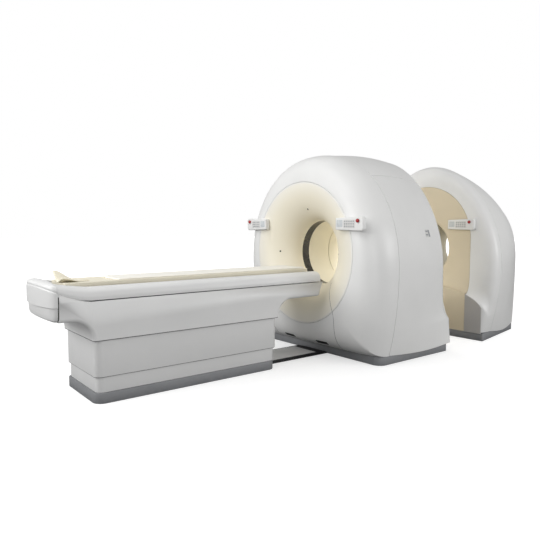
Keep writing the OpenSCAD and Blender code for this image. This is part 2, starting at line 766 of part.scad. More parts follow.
module pet_front_panel() {
    sections = [for (i = [0:panel_rays - 1])
        let (a = 360 * i / panel_rays)
        concat([for (j = [0:panel_steps]) panel_point(a, j / panel_steps, 0)],
            [for (j = [panel_steps:-1:1]) panel_point(a, j / panel_steps, cover_t)])];
    color(cream) mirror([0, 1, 0]) skin(sections, ring = true);
}

// PET aprons below the bench edge, cream in the middle and grey at the sides
apron_steps = 12;
function apron_outline(y0, y1) = concat(
    [[y1, plinth_h], [y0, plinth_h]],
    [for (i = [0:apron_steps])
        let (y = lerp(y0, y1, i / apron_steps)) [y, bench_edge(y) - ring_seam - seam]]);
module pet_apron_center() {
    color(cream) along_x(pet_bench_x, pet_bench_x + cover_t)
        polygon(apron_outline(-arch_half_w, arch_half_w));
}
apron_edge = 24;
module pet_apron_sides() {
    color(plinth_grey) for (side = [0, 1]) mirror([0, side, 0])
        along_x(pet_bench_x - cover_t, pet_bench_x - seam)
            polygon(apron_outline(arch_half_w + seam, bench_half_w - apron_edge));
}

// PET covers in two halves that meet on the crown
module pet_half_cover() {
    skin([for (i = [0:2 * strip_steps])
        [for (p = pet_strip(i / (2 * strip_steps))) [p[0], min(-seam / 2, -p[1]), p[2]]]]);
}
module pet_cover_right() {
    color(shell_white) pet_half_cover();
}
module pet_cover_left() {
    color(shell_white) mirror([0, 1, 0]) pet_half_cover();
}
module pet_rear_cover() {
    r0 = pet_bore_r + liner_t + ring_seam;
    half = half_rays(pet_rear_half_w, pet_base_rear_half_w, pet_rear_top, pet_rear_crown_power, r0);
    x0 = pet_rear_x + seam;
    sections = [for (ray = ring_rays(half)) concat(
        shoulder(ray, r0, pet_end_x, x0, 0),
        reversed(shoulder(ray, r0, pet_end_x - cover_t, x0, cover_t)))];
    color(shell_white) mirror([0, 1, 0]) skin(sections, ring = true);
}
module pet_tunnel() {
    color(cream) bore_ring(pet_bore_r, pet_bore_r + liner_t, throat_x + seam, pet_end_x);
}
module pet_plinth() {
    color(plinth_grey) plinth(pet_bench_x, pet_rear_x, pet_base_half_w, pet_base_rear_half_w, 12);
}

// PET base, detector ring and end shields
pet_anchor_dx = 700;
pet_anchor_dy = 1000;
pet_mid_x = 2420;
pet_base_x0 = pet_bench_x + plinth_t + seam;
ring_t = 150;
ring_foot_y = 540;
ring_r0 = module_r + module_depth;
ring_r1 = ring_r0 + 90;
module pet_base_frame() {
    w = pet_base_w(pet_rear_x) - plinth_t - cover_t;
    color(steel) difference() {
        translate([pet_base_x0, -w, 0]) cube([pet_rear_x - plinth_t - seam - pet_base_x0, 2 * w, plate_t]);
        anchors(pet_mid_x, pet_anchor_dx, pet_anchor_dy, plate_t);
    }
}
module pet_detector_frame() {
    color(iron) along_x(pet_mid_x - ring_t, pet_mid_x + ring_t) difference() {
        union() {
            translate(bore) circle(ring_r1);
            for (side = [-1, 1])
                translate([side * ring_foot_y - foot_w / 2, plate_t]) square([foot_w, bore_z - plate_t]);
        }
        translate(bore) circle(ring_r0);
    }
}
// Rise of the flat module backs above the round seat
module_seat = 2.6;
module pet_detector_modules() {
    w = 2 * module_r * tan(180 / modules) - 2;
    color("#4a4f57") translate([pet_mid_x - module_l / 2, 0, bore_z]) for (i = [0:modules - 1])
        rotate([360 * i / modules, 0, 0]) translate([0, -w / 2, module_r])
            cube([module_l, w, module_depth - module_seat]);
}
shield_t = 25;
module pet_shields() {
    color(iron) for (side = [-1, 1])
        translate([side * (ring_t + shield_t / 2 + seam), 0, 0])
            bore_ring(pet_bore_r + liner_t + seam, ring_r1,
                pet_mid_x - shield_t / 2, pet_mid_x + shield_t / 2);
}

// Table covers: rounded boxes that telescope, each caught by a lip on the next
lower_x0 = pedestal_x0 + 2 * cover_step;
lower_x1 = pedestal_x1 - 2 * cover_step;
lower_half_w = table_half_w - 2 * cover_step;
middle_x0 = pedestal_x0 + cover_step;
middle_x1 = pedestal_x1 - cover_step;
middle_half_w = table_half_w - cover_step;
lip_t = 8;
lip_gap = 0.5;
lap = 18;
module box_ring(x0, x1, w, r, t, z0, z1) {
    translate([0, 0, z0]) linear_extrude(z1 - z0) difference() {
        polygon(box_outline(x0, x1, w, r, r));
        polygon(box_outline(x0 + t, x1 - t, w - t, max(1, r - t), max(1, r - t)));
    }
}
catch = cover_step - table_t - lip_gap;
module table_lower_cover() {
    color(table_white) {
        box_ring(lower_x0, lower_x1, lower_half_w, pedestal_r, table_t, skirt_h, lower_seam_z + lap);
        box_ring(lower_x0 - catch, lower_x1 + catch, lower_half_w + catch, pedestal_r, catch + table_t,
            lower_seam_z + lip_t + lip_gap, lower_seam_z + 2 * lip_t + lip_gap);
    }
}
module table_middle_cover() {
    color(table_white) {
        box_ring(middle_x0, middle_x1, middle_half_w, pedestal_r, table_t,
            lower_seam_z, upper_seam_z + lap);
        box_ring(middle_x0, middle_x1, middle_half_w, pedestal_r, table_t + catch,
            lower_seam_z, lower_seam_z + lip_t);
        box_ring(middle_x0 - catch, middle_x1 + catch, middle_half_w + catch, pedestal_r, catch + table_t,
            upper_seam_z + lip_t + lip_gap, upper_seam_z + 2 * lip_t + lip_gap);
    }
}

// Upper cover: T-shaped side view with hollow curves below both overhanging ends
end_r = 30;
function side_view(t) = rounded([
    [pedestal_x0 + t, upper_seam_z - over], [pedestal_x0 + t, overhang_z + t],
    [foot_tip_x - over, overhang_z + t],
    [foot_tip_x - over, deck_z], [table_end_x - t, deck_z], [table_end_x - t, overhang_z + t],
    [pedestal_x1 - t, overhang_z + t], [pedestal_x1 - t, upper_seam_z - over]],
    [0, overhang_r - t, 0, 0, end_r - t, end_r - t, overhang_r - t, 0]);
function plan_view(t) = box_outline(foot_seam_x - over, table_end_x - t, table_half_w - t, 0, 0);
module upper_shell(t) {
    intersection() {
        across(table_half_w - t) polygon(side_view(t));
        translate([foot_seam_x + seam, -table_half_w, upper_seam_z])
            cube([table_end_x - foot_seam_x, 2 * table_half_w, deck_z - upper_seam_z]);
    }
}
module table_upper_cover() {
    color(table_white) {
        difference() {
            upper_shell(0);
            difference() {
                translate([0, 0, over]) upper_shell(table_t);
                translate([foot_seam_x, -table_half_w, 0])
                    cube([table_t, 2 * table_half_w, deck_z + 2 * over]);
            }
            translate([pedestal_x0 + table_t, -table_half_w + table_t, upper_seam_z - over])
                cube([pedestal_x1 - pedestal_x0 - 2 * table_t, 2 * (table_half_w - table_t), 3 * over]);
        }
        box_ring(pedestal_x0, pedestal_x1, table_half_w, 1.5, table_t + catch,
            upper_seam_z, upper_seam_z + lip_t);
    }
}

// Deck rim: a shouldered section carried round the table's plan outline
// The rim sweeps up towards the foot end
rise_x = -2610;
rise_power = 1.26;
function rim_rise(x) = foot_rise * pow(max(0, (rise_x - x) / (rise_x - foot_tip_x)), rise_power);
function rise_share(z) = smooth(crease_z, deck_z, z);
function rim_point(x, y, a, p) =
    [x + p[0] * cos(a), y + p[0] * sin(a), p[1] + rim_rise(x) * rise_share(p[1])];
rim_w = 108;
foot_r = foot_seam_x - foot_tip_x;
rim_edge = 7;
rim_top = [[-4, deck_z + 8], [-5, deck_z + 34], [-18, rim_z - 30], [-48, rim_z - 8], [-84, rim_z]];
cap_profile = concat([
    [-rim_w, overhang_z - 26], [-62, overhang_z - 20], [-24, overhang_z + 2], [-9, overhang_z + 40],
    [-9, crease_z - 8], [0, crease_z], [0, deck_z - 6], [-rim_edge, deck_z + seam]], rim_top, [
    [-rim_w, rim_z], [-rim_w, deck_z + 50], [-89, deck_z + 30], [-70, deck_z + 10], [-57, deck_z + 5],
    [-44, deck_z], [-44, deck_z - 13], [-44, crease_z], [-44, crease_z - 13], [-44, overhang_z + 56],
    [-44, overhang_z + 40], [-64, overhang_z + 14], [-rim_w, overhang_z]]);
tray_t = 10;
tray_z = deck_z + seam;
rim_stations = 8;
// Deck section: two rims joined by the tray, with the side band drawn up under the rising rim
function deck_side(x) =
    let (rise = rim_rise(x), w = table_half_w)
    concat([[-w, tray_z + 2], [-w, tray_z + 4 + rise], [-w + rim_edge, tray_z + 6 + rise]],
        [for (p = rim_top) [-w - p[0], p[1] + rise]],
        [[-w + rim_w, rim_z + rise], [-w + rim_w, tray_z + tray_t]]);
function deck_section(x) =
    let (side = deck_side(x), n = len(side), y0 = -table_half_w + 4, y1 = -table_half_w + rim_w - 4)
    let (base = [for (i = [0:n - 1]) [lerp(y0, y1, i / (n - 1)), tray_z]])
    let (right = concat(side, [for (q = reversed(side)) [-q[0], q[1]]]))
    let (under = concat(base, [for (q = reversed(base)) [-q[0], q[1]]]))
    [for (q = concat(right, reversed(under))) [x, q[0], q[1]]];
module table_deck() {
    color(table_white) skin(reversed([for (i = [0:rim_stations])
        let (k = i / rim_stations)
        deck_section(lerp(foot_seam_x + seam, table_end_x, k * k))]));
}

// Foot-end cap: the same section carried round the rounded foot end
foot_turn = 8;
function foot_path() = concat(
    [for (i = [0:foot_turn]) let (a = -90 - 90 * i / foot_turn)
        [foot_tip_x + foot_r + foot_r * cos(a), -table_half_w + foot_r + foot_r * sin(a), a]],
    [for (i = [0:foot_turn]) let (a = 180 - 90 * i / foot_turn)
        [foot_tip_x + foot_r + foot_r * cos(a), table_half_w - foot_r + foot_r * sin(a), a]]);
module foot_end_cap() {
    color(table_white)
        skin([for (s = foot_path()) [for (p = cap_profile) rim_point(s[0], s[1], s[2], p)]]);
}

// Skirt, base plate and floor duct
skirt_x0 = -2603;
skirt_x1 = -838;
skirt_half_w = 360;
skirt_r = 85;
skirt_t = 60;
module table_skirt() {
    color(plinth_grey) box_ring(skirt_x0, skirt_x1, skirt_half_w, skirt_r, skirt_t, 0, skirt_h);
}
table_anchor_dx = 1400;
table_anchor_dy = 460;
pedestal_mid_x = (skirt_x0 + skirt_x1) / 2;
module table_base() {
    t = skirt_t + seam;
    color(steel) difference() {
        linear_extrude(plate_t) polygon(
            box_outline(skirt_x0 + t, skirt_x1 - t, skirt_half_w - t, skirt_r - skirt_t, skirt_r - skirt_t));
        anchors(pedestal_mid_x, table_anchor_dx, table_anchor_dy, plate_t);
    }
}
duct_slot = 60;
module floor_duct() {
    x0 = skirt_x1 + seam;
    color(plinth_grey) difference() {
        translate([x0, -duct_w / 2, 0]) cube([-seam - x0, duct_w, duct_h]);
        translate([-duct_slot - seam, -duct_w / 2 - over, duct_h / 2])
            cube([duct_slot + 2 * seam, duct_w + 2 * over, duct_h]);
    }
}

// Lift columns in three stages
stage_r = column_r - column_t - column_gap;
ram_r = stage_r - column_t - column_gap;
frame_h = 60;
frame_z = tray_z - seam - frame_h;
column_overlap = 55;
column_len = frame_z - lift_travel - plate_t - 14;
module column_tubes(r, z0, z1) {
    for (i = [-1, 1]) translate([pedestal_mid_x + i * column_x, 0, z0]) difference() {
        cylinder(r = r, h = z1 - z0);
        translate([0, 0, -over]) cylinder(r = r - column_t, h = z1 - z0 + 2 * over);
    }
}
module lift_column_base() {
    color(steel) column_tubes(column_r, plate_t, plate_t + column_len);
}
stage_z = plate_t + column_len - column_overlap;
stage_top = frame_z - lift_travel / 2 - 10;
module lift_column_stage() {
    color(steel) column_tubes(stage_r, stage_z, stage_top);
}
module lift_column_ram() {
    color(steel) column_tubes(ram_r, stage_top - column_overlap, frame_z);
}

// Top frame: two long beams, and flats that reach the upper cover's walls in both overhanging ends
beam_w = 60;
beam_y = 150;
flat_h = 14;
flat_x = [foot_seam_x + 60, table_end_x - 340];
module top_frame() {
    w = table_half_w - table_t - seam;
    x0 = foot_seam_x + 40;
    x1 = table_end_x - 60;
    deep_x0 = pedestal_x0 + 60;
    deep_x1 = pedestal_x1 - 60;
    top = frame_z + frame_h;
    color(iron) {
        for (side = [-1, 1]) {
            translate([x0, side * beam_y - beam_w / 2, top - flat_h]) cube([x1 - x0, beam_w, flat_h]);
            translate([deep_x0, side * beam_y - beam_w / 2, frame_z])
                cube([deep_x1 - deep_x0, beam_w, frame_h]);
        }
        for (x = flat_x) translate([x, -w, top - flat_h]) cube([80, 2 * w, flat_h]);
        for (i = [-1, 1])
            translate([pedestal_mid_x + i * column_x - column_r, -beam_y, frame_z])
                cube([2 * column_r, 2 * beam_y, frame_h]);
    }
}

// Pallet slide: rails on the tray, carriage on the rails, pallet on the carriage
rail_w = 24;
rail_h = 22;
rail_y = 130;
rail_z = tray_z + tray_t;
slide_gap = 0.3;
module slide_rails() {
    color(steel) for (side = [-1, 1])
        translate([foot_seam_x + 260, side * rail_y - rail_w / 2, rail_z])
            cube([table_end_x - foot_seam_x - 270, rail_w, rail_h]);
}
carriage_x0 = pallet_x0 + 150;
carriage_z = rail_z + 8;
groove_h = rail_z + rail_h + slide_gap - carriage_z;
pallet_bottom = rim_z - 6;
module pallet_carriage() {
    color(iron) translate([carriage_x0, 0, 0]) difference() {
        translate([0, -rail_y - rail_w, carriage_z])
            cube([carriage_l, 2 * (rail_y + rail_w), pallet_bottom - carriage_z]);
        for (side = [-1, 1])
            translate([-over, side * rail_y - rail_w / 2 - slide_gap, carriage_z - over])
                cube([carriage_l + 2 * over, rail_w + 2 * slide_gap, groove_h + over]);
    }
}
pallet_edge = 14;
pallet_arc = 10;
pallet_end_r = 70;
function pallet_top(y) = pallet_bottom + pallet_t + pallet_dish * (y / pallet_half_w) * (y / pallet_half_w);
function pallet_section() = concat(
    [[-pallet_half_w + pallet_edge, pallet_bottom], [pallet_half_w - pallet_edge, pallet_bottom],
        [pallet_half_w, pallet_bottom + pallet_edge]],
    [for (i = [0:pallet_arc])
        let (y = lerp(pallet_half_w, -pallet_half_w, i / pallet_arc)) [y, pallet_top(y)]],
    [[-pallet_half_w, pallet_bottom + pallet_edge]]);
module pallet() {
    color(cream) intersection() {
        along_x(pallet_x0, pallet_x1) polygon(pallet_section());
        linear_extrude(2 * rim_z) polygon(
            box_outline(pallet_x0, pallet_x1, pallet_half_w, pallet_end_r, pallet_end_r));
    }
}
pad_inset = 16;
pad_gap = 0.3;
module pallet_pad() {
    w = pallet_half_w - pad_inset;
    top = [for (i = [0:pallet_arc])
        let (y = lerp(w, -w, i / pallet_arc)) [y, pallet_top(y) + pad_gap + pad_t]];
    base = [for (i = [0:pallet_arc]) let (y = lerp(-w, w, i / pallet_arc)) [y, pallet_top(y) + pad_gap]];
    color("#ece8dc") intersection() {
        along_x(pad_x0, pallet_x1 - pad_inset) polygon(concat(base, top));
        linear_extrude(2 * rim_z) polygon(
            box_outline(pad_x0, pallet_x1 - pad_inset, w, pad_inset, pallet_end_r - pad_inset));
    }
}

// Head holder: hollow cradle with raised wings, resting in the pallet's hollow
holder_w = 120;
holder_h = 72;
holder_t = 12;
holder_arc = 12;
function holder_z(y, t) =
    pallet_top(0) + pad_gap + t + (holder_h - t / 2) * pow(abs(y) / holder_w, 2.4);
module head_holder() {
    w = holder_w - holder_t;
    base = [for (i = [0:holder_arc])
        let (y = lerp(-holder_w, holder_w, i / holder_arc)) [y, holder_z(y, 0)]];
    top = [for (i = [0:holder_arc])
        let (y = lerp(w, -w, i / holder_arc)) [y, holder_z(y, holder_t)]];
    color(cream) along_x(pallet_x0, pallet_x0 + holder_l) polygon(concat(base, top));
}

table_base();
table_skirt();
table_lower_cover();
table_middle_cover();
table_upper_cover();
lift_column_base();
lift_column_stage();
lift_column_ram();
top_frame();
table_deck();
foot_end_cap();
slide_rails();
pallet_carriage();
pallet();
pallet_pad();
head_holder();
floor_duct();
ct_base_frame();
ct_plinth();
ct_front_cover();
ct_side_cover_left();
ct_side_cover_right();
ct_top_cover();
ct_rear_cover();
ct_front_funnel();
ct_scan_window();
ct_bore_liner();
ct_rear_funnel();
ct_stator();
ct_main_bearing();
ct_rotor();
xray_tube();
collimator();
xray_generator();
tube_cooler();
detector_arc();
slip_ring();
laser_windows();
front_latches();
cover_pulls();
ct_panels();
ct_stop_left();
ct_stop_right();
pet_base_frame();
pet_plinth();
pet_front_cover();
pet_front_panel();
pet_apron_center();
pet_apron_sides();
pet_cover_left();
pet_cover_right();
pet_rear_cover();
pet_tunnel();
pet_detector_frame();
pet_detector_modules();
pet_shields();
pet_panels();
pet_stop_left();
pet_stop_right();
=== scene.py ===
"""PET-CT scanner: patient table, CT gantry and PET gantry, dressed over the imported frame."""
import math
from collections import namedtuple

import bpy
import numpy as np
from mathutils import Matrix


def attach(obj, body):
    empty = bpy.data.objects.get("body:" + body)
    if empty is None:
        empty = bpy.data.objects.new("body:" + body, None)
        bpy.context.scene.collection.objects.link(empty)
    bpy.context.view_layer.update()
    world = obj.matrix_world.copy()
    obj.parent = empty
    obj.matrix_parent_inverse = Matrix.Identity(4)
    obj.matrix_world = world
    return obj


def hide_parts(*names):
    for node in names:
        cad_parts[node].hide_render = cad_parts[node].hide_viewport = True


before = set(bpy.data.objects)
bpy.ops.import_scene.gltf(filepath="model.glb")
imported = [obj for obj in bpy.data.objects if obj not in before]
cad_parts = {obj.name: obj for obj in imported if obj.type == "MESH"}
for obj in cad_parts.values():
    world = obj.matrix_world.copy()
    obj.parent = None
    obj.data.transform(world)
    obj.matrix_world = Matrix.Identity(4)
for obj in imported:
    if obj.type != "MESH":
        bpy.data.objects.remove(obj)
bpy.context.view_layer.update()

# Sizes in metres, the same as in the part's source
BORE_Z = 1.089
CT_BORE_R = 0.350
PET_BORE_R = 0.3585
LINER_T = 0.006
COVER_T = 0.012
PLINTH_H = 0.087
RING_SEAM = 0.002
BELLY_Z = 0.925
FRONT_POWER, PET_FRONT_POWER = 2.5, 3.4
CT_POWER, CT_REAR_POWER, PET_POWER, PET_REAR_POWER = 2.1, 1.83, 1.85, 2.15
TUCK_SHARE, TUCK_POWER = 0.945, 8
CT_FRONT_X, CT_SEAM_X, CT_REAR_X = -0.210, 0.140, 1.070
CT_HALF_W, CT_BASE_W, CT_TOP = 1.044, 0.940, 2.143
CT_REAR_W, CT_REAR_TOP = 0.896, 2.143
CT_PLINTH_L, CT_SWELL, CT_BENCH_D, CT_REAR_DOME = 1.119, 0.028, 0.100, 0.038
MOUTH_R, REAR_MOUTH_R = 0.756, 0.500
WINDOW_X, WINDOW_L, REAR_FUNNEL_X = 0.122, 0.101, 0.541
CT_CROWN_K = 0.70
PET_BENCH_X, PET_FACE_X, PET_SEAM_X = 1.880, 1.960, 2.120
PET_REAR_X, PET_END_X = 2.930, 2.980
PET_HALF_W, PET_TOP, PET_REAR_W, PET_REAR_TOP = 0.993, 2.155, 0.738, 1.828
PET_BASE_W, PET_BASE_REAR_W = 0.915, 0.715
PET_SWELL, BENCH_POWER = 0.040, 2.3
ARCH_W, ARCH_Z = 0.667, 1.220
BENCH_Z, BENCH_FOOT_Z, BENCH_CURVE_H = 0.630, 0.300, 0.190
THROAT_X, THROAT_R = 1.990, 0.385
PANEL_L, PANEL_H_IN, PANEL_H_OUT, PANEL_D, PANEL_Z = 0.366, 0.118, 0.138, 0.046, 1.398
STOP_Y, STOP_RISE = 0.304, 0.030
TABLE_W, FOOT_SEAM_X, TABLE_END_X, RISE_X = 0.368, -2.860, -0.262, -2.610
PEDESTAL_X0, PEDESTAL_X1, PEDESTAL_R, COVER_STEP = -2.612, -0.805, 0.060, 0.014
TABLE_T, SKIRT_H, LOWER_SEAM_Z, UPPER_SEAM_Z = 0.006, 0.082, 0.206, 0.497
OVERHANG_Z, OVERHANG_R, CREASE_Z, DECK_Z, RIM_Z = 0.664, 0.160, 0.778, 0.813, 0.912
RIM_W = 0.108
PALLET_X0, PALLET_X1, PALLET_W, PALLET_BOTTOM, PALLET_T = -2.760, -0.272, 0.214, 0.906, 0.026
PAD_X0, PAD_T, PAD_INSET, HOLDER_L = -2.340, 0.016, 0.016, 0.240
SKIRT_X0, SKIRT_X1, SKIRT_W, SKIRT_R, PLINTH_T = -2.603, -0.838, 0.360, 0.085, 0.055
LASER_R, LASER_DOT_R = 0.470, 0.010
GAP, REST_GAP = 0.002, 0.0006


# Shared forms

def smooth(a, b, t):
    """Smooth step: 0 below a, 1 above b, a cubic with level ends between them."""
    u = np.clip((t - a) / (b - a), 0, 1)
    return u * u * (3 - 2 * u)


def shares(n, first=0.0, last=0.0):
    """Shares of a run from 0 to 1: n even steps, with closer ones over the rolled edges first and last."""
    even = np.linspace(0, 1, n + 1)
    close = np.array([0, 0.04, 0.12, 0.25, 0.42, 0.62, 0.85, 1.15, 1.6])
    inner = even[(even > 1.8 * first) & (even < 1 - 1.8 * last)]
    return np.unique(np.concatenate([[0, 1], inner, first * close, 1 - last * close]))


def through(points, n):
    """Smooth curve through the points: a cubic Catmull-Rom piece between each two, n steps a piece."""
    p = np.asarray(points, float)
    q = np.vstack([2 * p[0] - p[1], p, 2 * p[-1] - p[-2]])
    t = (np.arange(n) / n)[None, :, None]
    a, b, c, d = (q[i:len(q) - 3 + i][:, None, :] for i in range(4))
    curve = 0.5 * (2 * b + (c - a) * t + (2 * a - 5 * b + 4 * c - d) * t ** 2 + (3 * b - a - 3 * c + d) * t ** 3)
    return np.vstack([curve.reshape(-1, p.shape[1]), p[-1:]])


def rounded(corners, radii, n=12):
    """Closed polygon with round corners: each corner is an arc that touches both of its sides."""
    p = np.asarray(corners, float)
    out = []
    for before, at, after, r in zip(np.roll(p, 1, 0), p, np.roll(p, -1, 0), radii):
        if r <= 0:
            out.append(at[None])
            continue
        a = (before - at) / np.linalg.norm(before - at)
        b = (after - at) / np.linalg.norm(after - at)
        half = math.acos(np.clip(a @ b, -1, 1)) / 2
        c = at + (a + b) / np.linalg.norm(a + b) * r / math.sin(half)
        start = at + a * r / math.tan(half) - c
        end = at + b * r / math.tan(half) - c
        a0 = math.atan2(start[1], start[0])
        turn = (math.atan2(end[1], end[0]) - a0 + 3 * math.pi) % (2 * math.pi) - math.pi
        angles = a0 + turn * np.arange(n + 1) / n
        out.append(c + r * np.stack([np.cos(angles), np.sin(angles)], 1))
    return np.vstack(out)


def drawn_in(loop, distance):
    """Closed loop moved to its inner side by a distance, mitred at each point."""
    ahead = np.roll(loop, -1, 0) - loop
    ahead /= np.maximum(np.linalg.norm(ahead, axis=1, keepdims=True), 1e-9)
    normal = np.stack([-ahead[:, 1], ahead[:, 0]], 1)
    before = np.roll(normal, 1, 0)
    mitre = (normal + before) / np.maximum(1 + (normal * before).sum(1, keepdims=True), 0.3)
    return loop + mitre * distance


def grid_quads(nu, nv, ring_u=False, ring_v=False):
    """Quads of a grid of nu by nv points, closed on itself where it is a ring."""
    i, j = np.meshgrid(np.arange(nu if ring_u else nu - 1), np.arange(nv if ring_v else nv - 1), indexing="ij")
    k, m = (i + 1) % nu, (j + 1) % nv
    return np.stack([i * nv + j, k * nv + j, k * nv + m, i * nv + m], -1).reshape(-1, 4)


def volume(points, quads, plates):
    """Signed volume inside the faces, from the tetrahedra between each face and the first point."""
    p = points - points[0]
    a, b, c, d = (p[quads[:, i]] for i in range(4))
    total = (a * np.cross(b, c)).sum() + (a * np.cross(c, d)).sum()
    for plate in plates:
        q = p[np.asarray(plate)]
        total += (q[0] * np.cross(q[1:-1], q[2:])).sum()
    return total / 6


def piece(name, points, quads, plates, body, finish, replaced=(), slot=None, sharp=38):
    """One closed piece from points, quads and flat plates, turned so that its faces point outwards."""
    points = np.ascontiguousarray(points.reshape(-1, 3), float)
    if volume(points, quads, plates) < 0:
        quads = quads[:, ::-1]
        plates = [np.asarray(plate)[::-1] for plate in plates]
    mesh = bpy.data.meshes.new(name)
    loops = np.concatenate([quads.ravel()] + [np.asarray(plate) for plate in plates]).astype(np.int32)
    sizes = np.concatenate([np.full(len(quads), 4), [len(plate) for plate in plates]]).astype(np.int32)
    mesh.vertices.add(len(points))
    mesh.vertices.foreach_set("co", points.ravel())
    mesh.loops.add(len(loops))
    mesh.loops.foreach_set("vertex_index", loops)
    mesh.polygons.add(len(sizes))
    mesh.polygons.foreach_set("loop_start", np.concatenate([[0], np.cumsum(sizes)[:-1]]).astype(np.int32))
    mesh.polygons.foreach_set("loop_total", sizes)
    mesh.update(calc_edges=True)
    mesh.validate()
    mesh.polygons.foreach_set("use_smooth", np.ones(len(mesh.polygons), bool))
    mesh.set_sharp_from_angle(angle=math.radians(sharp))
    mesh.materials.append(finish)
    obj = bpy.data.objects.new(name, mesh)
    bpy.context.scene.collection.objects.link(obj)
    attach(obj, body)
    if replaced:
        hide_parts(*replaced)
    return obj


def joined(parts):
    """Several sets of points, quads and plates as one set."""
    points, quads, plates, start = [], [], [], 0
    for p, q, e in parts:
        p = p.reshape(-1, 3)
        if volume(p, q, e) < 0:
            q, e = q[:, ::-1], [np.asarray(plate)[::-1] for plate in e]
        points.append(p)
        quads.append(q + start)
        plates += [np.asarray(plate) + start for plate in e]
        start += len(p)
    return np.vstack(points), np.vstack(quads), plates


def normals(p, ring_u, inside):
    """Unit normals of a grid from its two central differences, pointing away from the point inside."""
    if ring_u:
        du = np.roll(p, -1, 0) - np.roll(p, 1, 0)
    else:
        du = np.gradient(p, axis=0)
    dv = np.gradient(p, axis=1)
    n = np.cross(du, dv)
    n /= np.maximum(np.linalg.norm(n, axis=-1, keepdims=True), 1e-12)
    return n if (n * (p - np.asarray(inside))).sum() > 0 else -n


def roll_drop(p, roll, axis):
    """How far a rolled edge lies below the surface: a quarter circle within one radius of the edge."""
    step = np.linalg.norm(np.diff(p, axis=axis), axis=-1)
    run = np.cumsum(np.concatenate([np.zeros_like(np.take(step, [0], axis)), step], axis), axis)
    near = np.minimum(run, np.take(run, [-1], axis) - run)
    back = np.clip(roll - near, 0, roll)
    return roll - np.sqrt(roll ** 2 - back ** 2)


def moulded(p, inside, wall=COVER_T, roll=0.004, ring=False):
    """Moulded skin over a grid: edges rolled in, an inner wall below, and strips that close it all round."""
    n = normals(p, ring, inside)
    drop = roll_drop(p, roll, 1)
    if not ring:
        drop = np.maximum(drop, roll_drop(p, roll, 0))
    outer, inner = p - n * drop[..., None], p - n * wall
    nu, nv = p.shape[:2]
    skin = grid_quads(nu, nv, ring)
    under = skin[:, ::-1] + nu * nv
    i = np.arange(nu if ring else nu - 1)
    k, deep, last = (i + 1) % nu, nu * nv, nv - 1
    strips = [np.stack([k * nv, i * nv, i * nv + deep, k * nv + deep], 1),
              np.stack([i * nv + last, k * nv + last, k * nv + last + deep, i * nv + last + deep], 1)]
    if not ring:
        j, far = np.arange(nv - 1), (nu - 1) * nv
        strips += [np.stack([j, j + 1, j + 1 + deep, j + deep], 1),
                   np.stack([far + j + 1, far + j, far + j + deep, far + j + 1 + deep], 1)]
    return np.concatenate([outer.reshape(-1, 3), inner.reshape(-1, 3)]), np.vstack([skin, under] + strips), []


def turned(profile, n=256):
    """Closed profile of (x, radius) points, turned about the bore axis."""
    a = 2 * np.pi * np.arange(n) / n
    x, r = profile[:, 0], profile[:, 1]
    p = np.stack([np.broadcast_to(x, (n, len(x))), np.sin(a)[:, None] * r, BORE_Z + np.cos(a)[:, None] * r], -1)
    return p.reshape(-1, 3), grid_quads(n, len(x), True, True), []


def carried(loop, profile):
    """Closed upright profile of (inset, z) points, carried round a closed plan loop."""
    rings = [np.column_stack([drawn_in(loop, inset), np.full(len(loop), z)]) for inset, z in profile]
    p = np.stack(rings, 1)
    return p.reshape(-1, 3), grid_quads(len(loop), len(profile), True, True), []


def capped(p):
    """Grid whose rows are closed sections, with a flat plate at each end."""
    n, m = p.shape[:2]
    return p.reshape(-1, 3), grid_quads(n, m, False, True), [np.arange(m), np.arange((n - 1) * m, n * m)[::-1]]


def plate(loop, back, front, edge, place, steps=5):
    """Plate with a round front edge: the loop is drawn in as a quarter circle, and both ends are closed."""
    a = np.linspace(0, np.pi / 2, steps + 1)
    lift = np.sign(front - back)
    insets = np.concatenate([[0], edge * (1 - np.cos(a))])
    depths = np.concatenate([[back], front - lift * edge * (1 - np.sin(a))])
    return capped(np.stack([place(drawn_in(loop, e), d) for e, d in zip(insets, depths)]))


def facing(loop, depth):
    """Plane at one x: the loop is in y and z."""
    return np.column_stack([np.full(len(loop), depth), loop])


def mirrored(p):
    """The same points on the other side of the plane of symmetry."""
    return p * np.array([1, -1, 1])


def both_sides(part):
    """The part and its mirror image, as one set."""
    p, q, e = part
    return joined([(p, q, e), (mirrored(p), q, e)])


def box_loop(y0, y1, z0, z1, r):
    """Rectangle with round corners."""
    return rounded([[y0, z0], [y1, z0], [y1, z1], [y0, z1]], [r] * 4, 6)


def disc_loop(r, n):
    """Circle of n points about the origin."""
    a = np.linspace(0, 2 * np.pi, n + 1)[:-1]
    return np.column_stack([np.cos(a), np.sin(a)]) * r


# Finishes

Finish = namedtuple("Finish", "mat nodes links shader coords")


def finish_nodes(name):
    """New material: its nodes, its links, its shader and the piece's own Object coordinates."""
    mat = bpy.data.materials.new(name)
    mat.use_nodes = True
    nodes = mat.node_tree.nodes
    coords = nodes.new("ShaderNodeTexCoord").outputs["Object"]
    return Finish(mat, nodes, mat.node_tree.links, nodes["Principled BSDF"], coords)


def put(f, value, socket):
    """Value of a socket: a link from another socket, or a constant."""
    if isinstance(value, bpy.types.NodeSocket):
        f.links.new(value, socket)
    else:
        socket.default_value = value


def add(f, kind, inputs, **settings):
    """New node of a kind, with its settings and the values of its inputs."""
    node = f.nodes.new("ShaderNode" + kind)
    for name, value in settings.items():
        setattr(node, name, value)
    for name, value in inputs.items():
        put(f, value, node.inputs[name])
    return node


def noise(f, scale, detail=3.0, coords=None):
    """Noise texture on the coordinates; scale is its number of lumps in a metre."""
    return add(f, "TexNoise", {"Vector": coords or f.coords, "Scale": scale, "Detail": detail}).outputs["Fac"]


